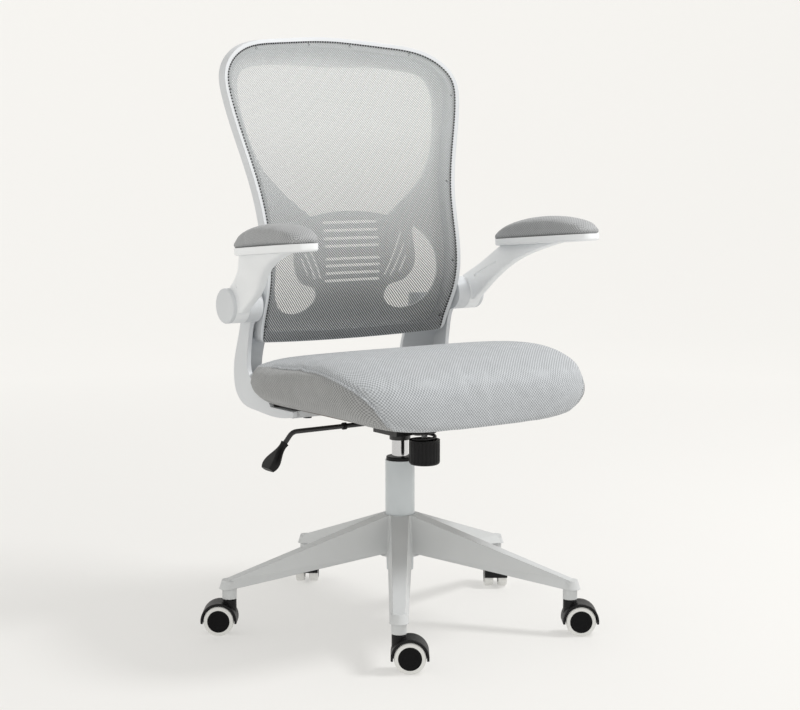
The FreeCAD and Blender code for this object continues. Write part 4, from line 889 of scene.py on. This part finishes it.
def lights():
    """Even sky, a key light high on the picture's right and a weak fill from behind the camera."""
    world = bpy.data.worlds.new("sky")
    scene.world = world
    world.use_nodes = True
    sky = world.node_tree.nodes["Background"]
    sky.inputs["Color"].default_value = scaled(SKY_TINT)
    sky.inputs["Strength"].default_value = SKY_STRENGTH
    soft_light("key_light", KEY_PLACE, KEY_SIZE, KEY_POWER)
    soft_light("fill_light", FILL_PLACE, FILL_SIZE, FILL_POWER)


def camera():
    """Camera at the viewpoint that was fitted to the photograph."""
    lens = bpy.data.cameras.new("photo_camera")
    lens.sensor_width = CAMERA_SENSOR
    lens.lens = CAMERA_LENS
    holder = new_piece("photo_camera", lens)
    turn = math.radians(CAMERA_AZIMUTH)
    holder.location = (CAMERA_REACH * math.sin(turn), -CAMERA_REACH * math.cos(turn), CAMERA_HEIGHT)
    holder.rotation_euler = (math.radians(LEVEL_ANGLE - CAMERA_PITCH), 0.0, turn)
    scene.camera = holder


# Finishes
seat_look = knitted("seat_fabric", SEAT_YARN, SEAT_GAP, SEAT_PITCH, SEAT_KNIT_DEPTH)
# Painted shade: a darker copy of the seat knit for the sides
side_painted_shade_look = knitted("side_fabric_painted_shade", SIDE_PAINTED_SHADE_YARN, SIDE_PAINTED_SHADE_GAP, SEAT_PITCH, SEAT_KNIT_DEPTH)
pad_look = knitted("pad_fabric", PAD_YARN, PAD_GAP, PAD_PITCH, PAD_KNIT_DEPTH)
# Painted light: lighter copy of the white plastic for the arms
arm_painted_light_look = moulded("arm_plastic_painted_light", ARM_PLASTIC_PAINTED_LIGHT, WHITE_ROUGH)
# Painted light: lighter copy of the white plastic for the back shell
shell_painted_light_look = moulded("shell_plastic_painted_light", SHELL_PLASTIC_PAINTED_LIGHT, WHITE_ROUGH)
disc_look = moulded("disc_plastic", DISC_BLACK, DISC_ROUGH, DISC_SHINE, DISC_EDGE)
# Painted shade: greyer copy of the white plastic for the star base
base_painted_shade_look = moulded("base_plastic_painted_shade", BASE_PLASTIC_PAINTED_SHADE, BASE_ROUGH, BASE_SHINE)
slot_looks = {
    "white_plastic": moulded("white_plastic", WHITE_PLASTIC, WHITE_ROUGH),
    "white_steel": painted("white_steel", WHITE_PAINT, WHITE_PAINT_ROUGH),
    "black_plastic": moulded("black_plastic", BLACK_PLASTIC, BLACK_ROUGH, BLACK_SHINE, BLACK_EDGE),
    "black_steel": painted("black_steel", BLACK_PAINT, BLACK_PAINT_ROUGH),
    "chrome": plated("chrome", CHROME_TINT, CHROME_ROUGH, CHROME_LAY),
    "zinc_steel": plated("zinc_steel", ZINC_TINT, ZINC_ROUGH, ZINC_LAY),
    "dark_steel": plated("dark_steel", SCREW_TINT, SCREW_ROUGH, SCREW_LAY),
    "wheel_plastic": moulded("wheel_plastic", TREAD_WHITE, TREAD_ROUGH),
    "plywood": plywood(),
    "seat_fabric": seat_look,
    "grey_mesh": pad_look,
}

# CAD nodes
for part in frame["record"]["subparts"]:
    dress(nodes[part["node"]], slot_looks[part["material_slot"]])
for joint in frame["joints"]:
    if joint["child"].startswith("wheel_"):
        dress_wheel(nodes[joint["child"]], joint)
# Star base in the greyer copy of the white plastic, which is painted shade
dress(nodes["star_base"], base_painted_shade_look)
# Back shell in the lighter copy of the white plastic, which is painted light
dress(nodes["back_shell"], shell_painted_light_look)

# Pieces that replace CAD nodes, then the studio
seat_cushion()
for hand in ("left", "right"):
    # Arms in the lighter copy of the white plastic, which is painted light
    dress(nodes["arm_body_" + hand], arm_painted_light_look)
    dress(nodes["arm_tray_" + hand], arm_painted_light_look)
    arm_pad(hand)
back_weave()
tension_spring()
studio()
lights()
camera()
scene.view_settings.view_transform = "Standard"
